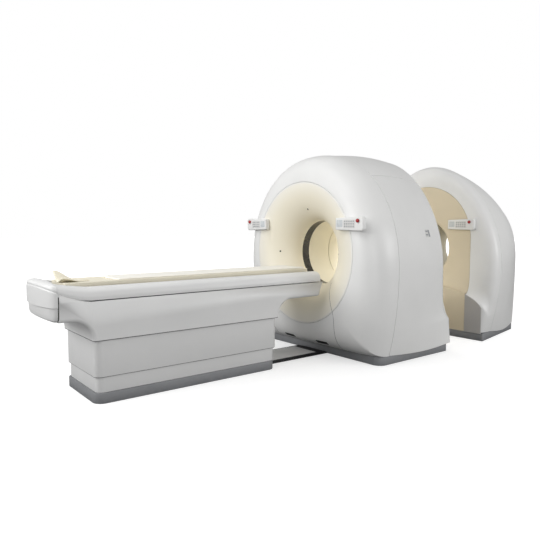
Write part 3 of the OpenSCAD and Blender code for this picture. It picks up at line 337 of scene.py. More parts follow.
def ramp(f, value, stops):
    """Colour ramp through (place, colour) stops."""
    node = add(f, "ValToRGB", {"Fac": value})
    ends = node.color_ramp.elements
    while len(ends) < len(stops):
        ends.new(0.5)
    for end, (place, colour) in zip(ends, stops):
        end.position = place
        end.color = (*colour, 1)
    return node.outputs["Color"]


def clouded(f, scale, detail, dark, light, first=0.3, last=0.7):
    """Colour that drifts between dark and light with a noise."""
    return ramp(f, noise(f, scale, detail), [(first, dark), (last, light)])


def spread(f, value, low, high):
    """Value from 0 to 1 mapped onto low to high."""
    return add(f, "MapRange", {"Value": value, "To Min": low, "To Max": high}).outputs["Result"]


def sums(f, operation, *values):
    """One Math node over sockets and numbers."""
    node = add(f, "Math", {}, operation=operation)
    for value, socket in zip(values, node.inputs):
        put(f, value, socket)
    return node.outputs[0]


def mixed(f, share, first, second):
    """Mix of two colours by a share."""
    return add(f, "Mix", {"Factor": share, "A": first, "B": second}, data_type="RGBA").outputs["Result"]


def axes(f):
    """The x, y and z of the coordinates."""
    return add(f, "SeparateXYZ", {"Vector": f.coords}).outputs


def stretched(f, scale):
    """Coordinates stretched by a scale along each axis."""
    return add(f, "Mapping", {"Vector": f.coords, "Scale": scale}).outputs["Vector"]


def length(f, vector):
    """Length of a vector."""
    node = add(f, "VectorMath", {}, operation="LENGTH")
    put(f, vector, node.inputs[0])
    return node.outputs["Value"]


def dress(f, colour, rough):
    """Colour and roughness of the shader."""
    put(f, colour, f.shader.inputs["Base Color"])
    put(f, rough, f.shader.inputs["Roughness"])


def relief(f, height, depth):
    """Bump of that depth in metres on the shader."""
    bump = add(f, "Bump", {"Strength": 1.0, "Distance": depth, "Height": height})
    put(f, bump.outputs["Normal"], f.shader.inputs["Normal"])


def shade(colour, k):
    """The colour made k times as bright."""
    return tuple(min(1.0, c * k) for c in colour)


def split_line(f, colour):
    """Colour with the thin dark split of the front mouldings: a band about y as a smooth step of z, on both sides."""
    at = axes(f)
    place = add(f, "MapRange", {"Value": at["Z"], "From Min": 0.40, "From Max": 0.80, "To Min": 0.505, "To Max": 0.385},
                interpolation_type="SMOOTHSTEP").outputs["Result"]
    away = sums(f, "ABSOLUTE", sums(f, "SUBTRACT", sums(f, "ABSOLUTE", at["Y"]), place))
    band, low = sums(f, "LESS_THAN", away, 0.0024), sums(f, "LESS_THAN", at["Z"], 0.79)
    return mixed(f, sums(f, "MULTIPLY", band, low), colour, (0.12, 0.12, 0.125, 1))


def painted_edge_shade(f, colour):
    """Colour with painted shade: a thin dark line along the lower edge of the upper and of the middle table cover, for
    the shadow under each tier.
    """
    z = axes(f)["Z"]
    # Painted shade: a dark band a few millimetres high just above each seam height.
    near = [sums(f, "LESS_THAN", sums(f, "ABSOLUTE", sums(f, "SUBTRACT", z, seam + 0.002)), 0.0030)
            for seam in (LOWER_SEAM_Z, UPPER_SEAM_Z)]
    return mixed(f, sums(f, "ADD", *near), colour, (0.15, 0.15, 0.155, 1))


def lacquer(name, colour, rough, grain=900, depth=0.00004, tone=0.03, gloss=0.4, marks=None):
    """Painted moulding: slow drifts of tone, a fine orange-peel skin and uneven polish."""
    f = finish_nodes(name)
    paint = clouded(f, 2.2, 4, shade(colour, 1 - tone), shade(colour, 1 + tone / 2))
    dress(f, marks(f, paint) if marks else paint, spread(f, noise(f, 14), rough - 0.05, rough + 0.07))
    put(f, gloss, f.shader.inputs["Specular IOR Level"])
    relief(f, noise(f, grain, 2), depth)
    return f.mat


def cover_white():
    """White lacquer of the gantry covers."""
    return lacquer("cover_white", (0.80, 0.80, 0.79), 0.36)


def front_white():
    """White lacquer of the CT front cover, with its split lines."""
    return lacquer("front_white", (0.80, 0.80, 0.79), 0.36, marks=split_line)


def duct_grey():
    """Pale grey paint of the duct's lid."""
    return lacquer("duct_grey", (0.70, 0.70, 0.70), 0.42, grain=600, tone=0.05)


def table_white():
    """White lacquer of the table covers, a little greyer, with painted shade lines along their lower edges."""
    return lacquer("table_white", (0.74, 0.74, 0.735), 0.38, marks=painted_edge_shade)


def bore_cream():
    """Cream moulding of bores and pallet."""
    return lacquer("bore_cream", (0.84, 0.79, 0.645), 0.42, tone=0.02)


def face_cream():
    """Deeper cream of the PET face and its apron."""
    return lacquer("face_cream", (0.70, 0.61, 0.45), 0.44, tone=0.02)


def panel_pale():
    """Pale membrane under the keys of a panel."""
    return lacquer("panel_pale", (0.66, 0.66, 0.645), 0.45, grain=1200, tone=0.02)


def apron_grey():
    """Lighter grey moulding of the PET aprons."""
    return lacquer("apron_grey", (0.47, 0.455, 0.44), 0.5, grain=420, depth=0.0001, tone=0.08)


def dark_recess():
    """Matt black of latch slots, seams and the duct."""
    return lacquer("dark_recess", (0.018, 0.018, 0.02), 0.6, grain=300, depth=0.00008, tone=0.2)


def painted_iron():
    """Cast iron under grey machine paint, with a soft sand texture."""
    return lacquer("painted_iron", (0.16, 0.17, 0.185), 0.5, grain=220, depth=0.0002, tone=0.12)


def stop_red():
    """Red plastic of the stop buttons."""
    return lacquer("stop_red", (0.40, 0.018, 0.02), 0.3, grain=600, tone=0.15, gloss=0.5)


def key_grey():
    """Grey rubber of the keys."""
    return lacquer("key_grey", (0.30, 0.31, 0.33), 0.5, grain=900, tone=0.06)


def funnel_cream():
    """Cream of the front funnel, which pales to the white of the cover over its outer lip."""
    f = finish_nodes("funnel_cream")
    at = axes(f)
    flat = add(f, "CombineXYZ", {"X": at["Y"], "Y": sums(f, "SUBTRACT", at["Z"], BORE_Z)}).outputs["Vector"]
    paint = ramp(f, length(f, flat), [(0.35, (0.85, 0.79, 0.64)), (0.60, (0.86, 0.81, 0.67)),
                                      (0.735, (0.85, 0.82, 0.73)), (0.752, (0.81, 0.80, 0.77))])
    dress(f, split_line(f, paint), spread(f, noise(f, 12), 0.36, 0.48))
    relief(f, noise(f, 900, 2), 0.00004)
    return f.mat


def base_grey():
    """Grey textured moulding of plinths and skirt, scuffed towards the floor."""
    f = finish_nodes("base_grey")
    height = add(f, "MapRange", {"Value": axes(f)["Z"], "From Max": 0.05}).outputs["Result"]
    scuffed = clouded(f, 26, 5, (0.185, 0.19, 0.20), (0.235, 0.24, 0.25), first=0.35)
    clean = clouded(f, 5, 3, (0.225, 0.23, 0.24), (0.255, 0.26, 0.27))
    dress(f, mixed(f, height, scuffed, clean), spread(f, noise(f, 40), 0.5, 0.66))
    relief(f, noise(f, 420, 2), 0.0001)
    return f.mat


def window_dark():
    """Dark polished film of the scan window and light windows, with faint wiping marks."""
    f = finish_nodes("window_dark")
    dress(f, clouded(f, 5, 3, (0.012, 0.0125, 0.014), (0.022, 0.023, 0.026), last=0.75),
          spread(f, noise(f, 1, 4, stretched(f, (60, 3, 3))), 0.12, 0.26))
    return f.mat


def machined_steel():
    """Machined steel with fine turning lines and a few oil tints."""
    f = finish_nodes("machined_steel")
    lines = noise(f, 1, 3, stretched(f, (500, 12, 12)))
    dress(f, clouded(f, 7, 4, (0.36, 0.37, 0.385), (0.46, 0.47, 0.48)), spread(f, lines, 0.26, 0.42))
    put(f, 1.0, f.shader.inputs["Metallic"])
    relief(f, lines, 0.00002)
    return f.mat


def slip_brass():
    """Brass of the slip ring, unevenly worn."""
    f = finish_nodes("slip_brass")
    dress(f, clouded(f, 9, 4, (0.45, 0.29, 0.11), (0.56, 0.37, 0.15)), spread(f, noise(f, 160), 0.25, 0.45))
    put(f, 1.0, f.shader.inputs["Metallic"])
    return f.mat


def pad_cloth():
    """Wipe-clean cover of the mattress: a fine grain, soft sheen and faint clouding."""
    f = finish_nodes("pad_cloth")
    dress(f, clouded(f, 6, 5, (0.84, 0.815, 0.74), (0.88, 0.855, 0.785)), spread(f, noise(f, 30), 0.5, 0.68))
    relief(f, add(f, "TexVoronoi", {"Vector": f.coords, "Scale": 520}).outputs["Distance"], 0.0002)
    put(f, 0.15, f.shader.inputs["Sheen Weight"])
    return f.mat


def display_glass():
    """Pale display glass, with a faint drift of tone behind a polished face."""
    f = finish_nodes("display_glass")
    dress(f, clouded(f, 30, 2, (0.55, 0.58, 0.60), (0.66, 0.69, 0.70)), spread(f, noise(f, 60), 0.08, 0.16))
    return f.mat


white, table_paint, cream, funnel = cover_white(), table_white(), bore_cream(), funnel_cream()
grey, window, recess, steel, iron = base_grey(), window_dark(), dark_recess(), machined_steel(), painted_iron()
red, brass, cloth, glass, key_rubber = stop_red(), slip_brass(), pad_cloth(), display_glass(), key_grey()
pet_cream, membrane, front_paint, lid_paint = face_cream(), panel_pale(), front_white(), duct_grey()
apron_paint = apron_grey()


# Gantry forms

def outline(half_w, base_w, top, power, k):
    """Gantry outline in y and z: a parabola from the plinth to the belly, then a superellipse crown."""
    f = np.clip(k / 0.3, 0, 1)
    a = np.clip((k - 0.3) / 0.7, 0, 1) * np.pi / 2
    low = k < 0.3
    y = np.where(low, half_w - (half_w - base_w) * (1 - f) ** 2, half_w * np.abs(np.cos(a)) ** (2 / power))
    z = np.where(low, PLINTH_H + (BELLY_Z - PLINTH_H) * f, BELLY_Z + (top - BELLY_Z) * np.sin(a) ** (2 / power))
    return np.stack([y, z], -1)


def rays(half_w, base_w, top, power, mouth, low=48, side=150):
    """Rays from the bore axis to the outline: direction, length, and the length at the plinth plane.

    Low rays end a little beyond the plinth plane, less so towards the corners, so that the foot tucks in."""
    drop = BORE_Z - PLINTH_H
    a = np.arange(low) / low * math.atan2(base_w, drop)
    d0, cut0 = np.stack([np.sin(a), -np.cos(a)], 1), drop / np.cos(a)
    r0 = mouth + (cut0 - mouth) / (TUCK_SHARE + (1 - TUCK_SHARE) * (drop * np.tan(a) / base_w) ** TUCK_POWER)
    edge = outline(half_w, base_w, top, power, np.linspace(0, 1, side + 1)) - np.array([0, BORE_Z])
    r1 = np.linalg.norm(edge, axis=1)
    far = np.full(len(r1), 6)
    d, r, cut = np.vstack([d0, edge / r1[:, None]]), np.concatenate([r0, r1]), np.concatenate([cut0, far])
    back = np.arange(len(r) - 2, 0, -1)
    return np.vstack([d, d[back] * np.array([-1, 1])]), np.concatenate([r, r[back]]), np.concatenate([cut, cut[back]])


def shoulder(ray, r0, face_x, edge_x, share):
    """Rounded shoulder along each ray: a quarter superellipse from the mouth plane to the outline plane."""
    d, r1, cut = ray
    end = np.arcsin(np.clip((np.minimum(r1, cut) - r0) / (r1 - r0), 0, 1) ** (FRONT_POWER / 2))
    a = share[None, :] * end[:, None]
    r = r0 + (r1 - r0)[:, None] * np.sin(a) ** (2 / FRONT_POWER)
    x = edge_x + (face_x - edge_x) * np.abs(np.cos(a)) ** (2 / FRONT_POWER)
    return np.stack([x, d[:, :1] * r, BORE_Z + d[:, 1:] * r], -1)


def strip(front, rear, x0, x1, s, swell):
    """Cover between two outlines: straight lines from front to rear that swell as half a sine."""
    p = front[:, None] + (rear - front)[:, None] * s[None, :, None]
    d = p - np.array([0, BORE_Z])
    p = p + d / np.linalg.norm(d, axis=-1, keepdims=True) * swell * np.sin(np.pi * s)[None, :, None]
    x = x0 + (x1 - x0)[:, None] * s[None, :]
    return np.concatenate([x[..., None], p], -1)


CT_HEART = (0.45, 0.0, 1.0)
PET_HEART = (2.45, 0.0, 1.0)


def ct_rear_edge(z):
    """Rear edge of the CT side covers: a cube of the depth below the bench top, cut out round the bench."""
    return CT_REAR_X + CT_BENCH_D * np.clip((0.560 - z) / 0.200, 0, 1) ** 3


def ct_bench(z):
    """Rear of the bench on the rear cover: a smooth step that starts above the cut-out."""
    return CT_REAR_X + CT_BENCH_D * (1 - smooth(0.450, 0.580, z))


def ct_front_cover():
    """Front cover: a shoulder from the funnel mouth to the seam plane."""
    r0 = MOUTH_R + RING_SEAM
    ray = rays(CT_HALF_W, CT_BASE_W, CT_TOP, CT_POWER, r0)
    p = shoulder(ray, r0, CT_FRONT_X, CT_SEAM_X - GAP, shares(44, 0.02, 0.012))
    piece("ct_front_cover_skin", *moulded(p, CT_HEART, ring=True), "standing", front_paint,
          ["ct_front_cover"], "cover_white")


def ct_strip(k, s):
    """CT side and top surface between the front and the rear outline."""
    front = outline(CT_HALF_W, CT_BASE_W, CT_TOP, CT_POWER, k)
    rear = outline(CT_REAR_W, CT_BASE_W, CT_REAR_TOP, CT_REAR_POWER, k)
    return strip(front, rear, CT_SEAM_X + GAP, ct_rear_edge(rear[:, 1]) - GAP, s, CT_SWELL)


def ct_side_covers():
    """Side covers: the strip from the plinth up to the crown seam, on both sides."""
    p = mirrored(ct_strip(shares(150, 0.004, 0.004) * (CT_CROWN_K - 0.0008), shares(40, 0.006, 0.006)))
    piece("ct_side_cover_right_skin", *moulded(p, CT_HEART), "standing", white,
          ["ct_side_cover_right"], "cover_white")
    piece("ct_side_cover_left_skin", *moulded(mirrored(p), CT_HEART), "standing", white,
          ["ct_side_cover_left"], "cover_white")


def ct_top_cover():
    """Top cover: the strip over the crown, from seam to seam."""
    k = CT_CROWN_K + 0.0012 + (1 - CT_CROWN_K - 0.0012) * shares(50, 0.012, 0)
    half = ct_strip(k, shares(40, 0.006, 0.006))
    p = np.concatenate([mirrored(half), half[-2::-1]])
    piece("ct_top_cover_skin", *moulded(p, CT_HEART), "standing", white, ["ct_top_cover"], "cover_white")


def ct_rear_cover():
    """Rear cover: a shallow shoulder round the rear mouth that follows the rear edge and its bench."""
    r0 = REAR_MOUTH_R + RING_SEAM
    ray = rays(CT_REAR_W, CT_BASE_W, CT_REAR_TOP, CT_REAR_POWER, r0)
    p = shoulder(ray, r0, 1.0, 0.0, shares(40, 0.02, 0.02))
    edge = ct_rear_edge(p[..., 2]) + GAP
    p[..., 0] = edge + (ct_bench(p[..., 2]) + CT_REAR_DOME - edge) * p[..., 0]
    piece("ct_rear_cover_skin", *moulded(p, CT_HEART, ring=True), "standing", white,
          ["ct_rear_cover"], "cover_white")


def front_depth(y, z):
    """Front surface of the CT cover over y and z below the bore, from the same shoulder as its skin."""
    r = np.hypot(y, z - BORE_Z)
    mouth, cut = MOUTH_R + RING_SEAM, (BORE_Z - PLINTH_H) * r / (BORE_Z - z)
    share = TUCK_SHARE + (1 - TUCK_SHARE) * np.minimum(1, np.abs(y) / r * cut / CT_BASE_W) ** TUCK_POWER
    t = np.clip((r - mouth) * share / (cut - mouth), 0, 1)
    return CT_SEAM_X + (CT_FRONT_X - CT_SEAM_X) * (1 - t ** FRONT_POWER) ** (1 / FRONT_POWER)


def front_latches():
    """Latch slots low on the front cover: dark plates that follow its curve."""
    def at(loop, depth):
        return np.column_stack([front_depth(loop[:, 0], loop[:, 1]) + depth, loop])
    slot = plate(box_loop(0.182, 0.342, 0.131, 0.163, 0.005), 0.008, -0.006, 0.001, at)
    piece("front_latch_slots", *both_sides(slot), "standing", recess, ["front_latches"], "window_dark")


def side_y(x, z):
    """Outer surface of the CT side cover over x and z: the nearest of many close shares of its outline."""
    k = np.linspace(0.3, 0.6, 3000)
    front = outline(CT_HALF_W, CT_BASE_W, CT_TOP, CT_POWER, k)
    rear = outline(CT_REAR_W, CT_BASE_W, CT_REAR_TOP, CT_REAR_POWER, k)
    s = (x - CT_SEAM_X) / (CT_REAR_X - CT_SEAM_X)
    p = strip(front, rear, CT_SEAM_X, np.full(len(k), CT_REAR_X), s, CT_SWELL)
    return p[np.abs(p[..., 2] - z).argmin(0), np.arange(len(x)), 1]


def cover_pulls():
    """Pulls in the side covers: a pale pocket with a dark rear wall and two ribs, on both sides; the dark grey of the
    rear wall is painted shade along the pocket's edge.
    """
    def at(loop, depth):
        return np.column_stack([loop[:, 0], side_y(loop[:, 0], loop[:, 1]) + depth, loop[:, 1]])
    pocket = plate(box_loop(0.690, 0.800, 1.262, 1.340, 0.008), -0.008, 0.0012, 0.001, at)
    piece("cover_pull_pockets", *both_sides(pocket), "standing", membrane, ["cover_pulls"], "base_grey")
    # Painted shade: the dark grey rear wall stands for the shadow along the pocket's rear edge.
    loops = [rounded([[0.772, 1.268], [0.796, 1.266], [0.786, 1.336], [0.757, 1.336]], [0.004] * 4, 4)]
    loops += [rounded([[0.700, z], [0.752, z], [0.752, z + 0.012], [0.700, z + 0.012]], [0.003] * 4, 4)
              for z in (1.281, 1.318)]
    ribs_and_shade = joined([plate(loop, 0.0, 0.0022, 0.0008, at) for loop in loops])
    piece("cover_pull_ribs_and_shade", *both_sides(ribs_and_shade), "standing", key_rubber, slot="base_grey")


def laser_windows():
    """Positioning light windows: small dark discs set in the bell, on top and at both sides."""
    turn = math.acos((MOUTH_R - LASER_R) / (MOUTH_R - CT_BORE_R))
    depth_x = WINDOW_X - CT_FRONT_X
    centre = WINDOW_X - depth_x * math.sin(turn)
    run = np.array([-depth_x * math.cos(turn), (MOUTH_R - CT_BORE_R) * math.sin(turn)])
    run /= np.linalg.norm(run)

    def disc(angle):
        def at(loop, depth):
            x = centre + loop[:, 0] * run[0] - depth * run[1]
            reach = LASER_R + loop[:, 0] * run[1] + depth * run[0]
            return np.column_stack([x, np.sin(angle) * reach + np.cos(angle) * loop[:, 1],
                                    BORE_Z + np.cos(angle) * reach - np.sin(angle) * loop[:, 1]])
        return plate(disc_loop(LASER_DOT_R, 24), -0.004, 0.0012, 0.0008, at, 3)
    piece("laser_window_discs", *joined([disc(angle) for angle in (0, np.pi / 2, -np.pi / 2)]), "standing", window,
          ["laser_windows"], "window_dark")


def floor_duct():
    """Floor duct: a low black body with a lower end under the cover, and a pale lid let into its top."""
    def at(loop, depth):
        return np.column_stack([loop, np.full(len(loop), depth)])
    body = plate(box_loop(-0.8376, -0.060, -0.200, 0.200, 0.002), 0.0, 0.030, 0.002, at)
    end = plate(box_loop(-0.0596, -0.0004, -0.200, 0.200, 0.002), 0.0, 0.015, 0.002, at)
    piece("floor_duct_body", *joined([body, end]), "standing", recess, ["floor_duct"], "base_grey")
    lid = plate(box_loop(-0.826, -0.150, -0.178, 0.178, 0.004), 0.028, 0.0316, 0.0012, at)
    piece("floor_duct_lid", *lid, "standing", lid_paint, slot="cover_white")


def bell(r0, r1, x_bore, x_mouth, inset, n=60):
    """Quarter ellipse from the bore to the mouth, moved out by an inset."""
    a = np.linspace(0, np.pi / 2, n + 1)
    return np.column_stack([x_bore - (x_bore - x_mouth - inset) * np.sin(a), r1 + inset - (r1 - r0) * np.cos(a)])


def ct_front_funnel():
    """Front funnel: the bell turned about the bore axis, with a folded lip."""
    lip = np.array([CT_FRONT_X, MOUTH_R]) + [[0.0008, -0.0008], [0.003, 0], [0.006, 0]]
    front = bell(CT_BORE_R, MOUTH_R - 0.002, WINDOW_X - 0.001, CT_FRONT_X, 0)
    back = bell(CT_BORE_R, MOUTH_R - LINER_T, WINDOW_X - 0.001, CT_FRONT_X, LINER_T)[::-1]
    piece("ct_front_funnel_bell", *turned(np.vstack([front, lip, back])), "standing", funnel,
          ["ct_front_funnel"], "bore_cream")


def sleeve(name, r, x0, x1, finish, slot, node):
    """Bore sleeve: a tube with eased ends, turned about the bore axis."""
    e = 0.0015
    profile = np.array([[x0 + e, r], [x1 - e, r], [x1, r + e], [x1, r + LINER_T], [x0, r + LINER_T], [x0, r + e]])
    piece(name, *turned(profile), "standing", finish, [node], slot)


def ct_rear_funnel():
    """Rear funnel: a long bell from the bore to the rear mouth."""
    x_mouth = CT_REAR_X + 0.0384
    front = bell(CT_BORE_R, REAR_MOUTH_R, REAR_FUNNEL_X + 0.003, x_mouth, 0)
    back = bell(CT_BORE_R, REAR_MOUTH_R - LINER_T, REAR_FUNNEL_X + 0.003, x_mouth - 0.012, LINER_T)[::-1]
    lip = np.array([[x_mouth - 0.006, REAR_MOUTH_R]])
    piece("ct_rear_funnel_bell", *turned(np.vstack([front, lip, back])), "standing", cream,
          ["ct_rear_funnel"], "bore_cream")


def plinth_loop(x0, x1, w0, w1, r0, r1):
    """Plan of a plinth: a rectangle or taper with round corners."""
    return rounded([[x0, -w0], [x1, -w1], [x1, w1], [x0, w0]], [r0, r1, r1, r0], 16)


def plinth(name, node, loop, h):
    """Plinth or skirt: an upright wall with eased edges, carried round the plan."""
    wall = [(0, 0.003), (0, h - 0.003), (0.0009, h - 0.0009), (0.003, h), (PLINTH_T, h), (PLINTH_T, 0), (0.003, 0),
            (0.0009, 0.0009)]
    piece(name, *carried(loop, wall), "standing", grey, [node], "base_grey")


def plinths():
    """Plinths of both gantries and skirt of the table."""
    plinth("ct_plinth_band", "ct_plinth",
           plinth_loop(0, CT_PLINTH_L, CT_BASE_W, CT_BASE_W - 0.006, 0.090, 0.012), PLINTH_H)
    plinth("pet_plinth_band", "pet_plinth",
           plinth_loop(PET_BENCH_X, PET_REAR_X, PET_BASE_W, PET_BASE_REAR_W, 0.012, 0.012), PLINTH_H)
    plinth("table_skirt_band", "table_skirt",
           plinth_loop(SKIRT_X0, SKIRT_X1, SKIRT_W, SKIRT_W, SKIRT_R, SKIRT_R), SKIRT_H)


def bench_edge(y):
    """Height of the PET bench edge: a superellipse over the width."""
    left = 1 - np.minimum(1, np.abs(y) / PET_BASE_W) ** BENCH_POWER
    return BENCH_FOOT_Z + (BENCH_Z - BENCH_FOOT_Z) * np.maximum(0, left) ** (1 / BENCH_POWER)


def bench_x(y, z):
    """Front surface above the bench edge: a hollow quarter ellipse from the bench to the face."""
    s = np.clip((z - bench_edge(y)) / BENCH_CURVE_H, 0, 1)
    return PET_BENCH_X + (PET_FACE_X - PET_BENCH_X) * np.sqrt(1 - (1 - s) ** 2)


def pet_base_w(x):
    """Half width of the PET gantry at its plinth: it tapers to the rear."""
    return PET_BASE_W + (PET_BASE_REAR_W - PET_BASE_W) * (x - PET_BENCH_X) / (PET_REAR_X - PET_BENCH_X)


def arch(k, w):
    """Edge of the cream strip: an upright line, then a quarter circle."""
    share = 10 / 24
    a = np.pi / 2 * np.clip((k - share) / (1 - share), 0, 1)
    low = k < share
    y = np.where(low, w, w * np.cos(a))
    z = np.where(low, PLINTH_H + (ARCH_Z - PLINTH_H) * k / share, ARCH_Z + w * np.sin(a))
    return np.stack([y, z], -1)


def pet_front_cover():
    """PET front cover: from the arch over a superelliptic shoulder to the seam plane."""
    k = shares(170, 0.002, 0)
    p, q = arch(k, ARCH_W + RING_SEAM), outline(PET_HALF_W, pet_base_w(PET_SEAM_X), PET_TOP, PET_POWER, k)
    a = shares(44, 0.02, 0.012) * np.pi / 2
    c = p[:, None] + (q - p)[:, None] * (np.sin(a) ** (2 / PET_FRONT_POWER))[None, :, None]
    front = bench_x(c[..., 0], c[..., 1])
    seam = PET_SEAM_X - GAP
    x = seam - (seam - front) * np.abs(np.cos(a)) ** (2 / PET_FRONT_POWER)
    half = np.concatenate([x[..., None], c], -1)
    p = np.concatenate([half, mirrored(half)[-2::-1]])
    piece("pet_front_cover_skin", *moulded(p, PET_HEART), "standing", white, ["pet_front_cover"], "cover_white")


def panel_reach(a):
    """Distance from the bore axis to the arch or to the bench edge, found by halving."""
    d = np.stack([np.cos(a), np.sin(a)], -1)
    side = ARCH_W / np.maximum(np.abs(d[:, 0]), 1e-4)
    drop = BORE_Z - ARCH_Z
    top = np.sqrt(np.maximum(0, (d[:, 1] * drop) ** 2 - drop ** 2 + ARCH_W ** 2)) - d[:, 1] * drop
    high = (BORE_Z + d[:, 1] * side > ARCH_Z) | (d[:, 1] > 0.99)
    lo, hi = np.full(len(a), PET_BORE_R), np.minimum(side, 3.0)
    whole = BORE_Z + d[:, 1] * hi - bench_edge(d[:, 0] * hi) > 0
    for _ in range(40):
        mid = (lo + hi) / 2
        above = BORE_Z + d[:, 1] * mid - bench_edge(d[:, 0] * mid) > 0
        lo, hi = np.where(above, mid, lo), np.where(above, hi, mid)
    return np.where(high, top, np.where((d[:, 1] >= 0) | whole, side, lo)), d


def pet_front_panel():
    """Cream front panel: rays from the bore out to the arch and bench edge, drawn in to the throat."""
    a = 2 * np.pi * np.arange(320) / 320
    reach, d = panel_reach(a)
    s = shares(50, 0, 0.012)
    r = PET_BORE_R + (reach - PET_BORE_R)[:, None] * s[None, :] ** 2
    y, z = d[:, :1] * r, BORE_Z + d[:, 1:] * r
    inner = np.clip((r - PET_BORE_R) / (np.minimum(THROAT_R, reach)[:, None] - PET_BORE_R), 0, 1)
    throat = 1 - np.sqrt(1 - (1 - inner) ** 2)
    front = bench_x(y, z)
    p = np.stack([front + (THROAT_X - front) * throat, y, z], -1)
    piece("pet_front_panel_skin", *moulded(p, PET_HEART, ring=True, roll=0.003), "standing", pet_cream,
          ["pet_front_panel"], "bore_cream")


def apron_loop(y0, y1):
    """Apron outline: straight at the plinth and both ends, the bench edge on top."""
    y = np.linspace(y1, y0, 60)
    return np.vstack([[[y0, PLINTH_H + 0.001], [y1, PLINTH_H + 0.001]], np.column_stack([y, bench_edge(y) - 0.002])])


def pet_aprons():
    """Aprons below the bench edge: plates with round front edges."""
    center = plate(apron_loop(-ARCH_W, ARCH_W), PET_BENCH_X + COVER_T, PET_BENCH_X, 0.005, facing)
    piece("pet_apron_center_plate", *center, "standing", pet_cream, ["pet_apron_center"], "bore_cream")
    side = plate(apron_loop(ARCH_W + 0.0015, PET_BASE_W - 0.024), PET_BENCH_X - 0.0004, PET_BENCH_X - COVER_T, 0.004,
                 facing)
    piece("pet_apron_sides_plates", *both_sides(side), "standing", apron_paint, ["pet_apron_sides"], "base_grey")


def pet_side_covers():
    """PET side covers: two half strips that meet on the crown."""
    k = shares(170, 0.003, 0.0)
    front = outline(PET_HALF_W, pet_base_w(PET_SEAM_X), PET_TOP, PET_POWER, k)
    rear = outline(PET_REAR_W, PET_BASE_REAR_W, PET_REAR_TOP, PET_REAR_POWER, k)
    p = strip(front, rear, PET_SEAM_X + GAP, np.full(len(k), PET_REAR_X - GAP), shares(40, 0.008, 0.008), PET_SWELL)
    p[..., 1] = np.maximum(p[..., 1], 0.0015)
    piece("pet_cover_left_skin", *moulded(p, PET_HEART), "standing", white, ["pet_cover_left"], "cover_white")
    piece("pet_cover_right_skin", *moulded(mirrored(p), PET_HEART), "standing", white,
          ["pet_cover_right"], "cover_white")


def pet_rear_cover():
    """PET rear cover: a shallow shoulder round the tunnel."""
    r0 = PET_BORE_R + LINER_T + RING_SEAM
    ray = rays(PET_REAR_W, PET_BASE_REAR_W, PET_REAR_TOP, PET_REAR_POWER, r0)
    p = shoulder(ray, r0, PET_END_X, PET_REAR_X + GAP, shares(44, 0.012, 0.02))
    piece("pet_rear_cover_skin", *moulded(p, PET_HEART, ring=True), "standing", white,
          ["pet_rear_cover"], "cover_white")


# Control panels

def panel_loop():
    """Panel outline in its own y and z: a wedge with round corners, taller at its outer end."""
    return rounded([[0, -PANEL_H_IN / 2], [PANEL_L, -PANEL_H_OUT / 2], [PANEL_L, PANEL_H_OUT / 2], [0, PANEL_H_IN / 2]],
                   [0.010, 0.030, 0.030, 0.010], 10)


def panels(unit, front_x, inner_y):
    """Panels of one gantry: box, display, key field and keys, on both sides."""
    def at(loop, depth):
        return np.column_stack([np.full(len(loop), front_x + depth), loop[:, 0] + inner_y, loop[:, 1] + PANEL_Z])
    piece(unit + "_panel_boxes", *both_sides(plate(panel_loop(), PANEL_D, 0.0, 0.012, at, 8)), "standing", white,
          [unit + "_panels"], "cover_white")
    display = plate(box_loop(0.022, 0.100, -0.030, 0.038, 0.005), 0.002, -0.0015, 0.0015, at)
    piece(unit + "_panel_displays", *both_sides(display), "standing", glass, slot="window_dark")
    field = plate(box_loop(0.112, 0.262, -0.040, 0.040, 0.008), 0.002, -0.0008, 0.0008, at)
    piece(unit + "_panel_key_fields", *both_sides(field), "standing", membrane, slot="cover_white")
    key, pitch_y, pitch_z = disc_loop(0.0068, 16), 0.028, 0.024
    keys = [plate(key + np.array([0.131 + pitch_y * i, pitch_z * (j - 1)]), 0.001, -0.0032, 0.002, at, 3)
            for i in range(5) for j in range(3)]
    piece(unit + "_panel_keys", *both_sides(joined(keys)), "standing", key_rubber, slot="base_grey")


def stop_button(unit, side, front_x, inner_y):
    """Stop button: a mushroom turned about its own axis, on its stem."""
    profile = through([[0.022, 0.0], [0.022, 0.0075], [-0.0048, 0.0078]], 1)
    cap = through([[-0.0053, 0.0085], [-0.0056, 0.0178], [-0.0085, 0.019], [-0.0150, 0.0172], [-0.0186, 0.0120],
                   [-0.0193, 0.0030], [-0.0193, 0.0006]], 6)
    line = np.vstack([profile[:1] + np.array([0, 0.0006]), profile[1:], cap])
    a = 2 * np.pi * np.arange(48) / 48
    y, z = side * (inner_y + STOP_Y), PANEL_Z + STOP_RISE
    p = np.stack([np.broadcast_to(front_x + line[:, 0], (48, len(line))), y + np.cos(a)[:, None] * line[:, 1],
                  z + np.sin(a)[:, None] * line[:, 1]], -1)
    m = len(line)
    ends = [np.arange(48) * m, np.arange(48)[::-1] * m + m - 1]
    word = "left" if side > 0 else "right"
    piece(f"{unit}_stop_{word}_mushroom", p, grid_quads(48, m, True), ends, f"{unit}_{word}_button", red,
          [f"{unit}_stop_{word}"], "stop_red")


# Table

def cover_box(name, x0, x1, w, r, z0, z1, body, node):
    """Telescoping cover: a thin upright wall with an eased lower edge, carried round the plan."""
    wall = [(0, z0 + 0.004), (0, z1), (TABLE_T, z1), (TABLE_T, z0), (0.004, z0), (0.0012, z0 + 0.0012)]
    piece(name, *carried(plinth_loop(x0, x1, w, w, r, r), wall), body, table_paint, [node], "cover_white")


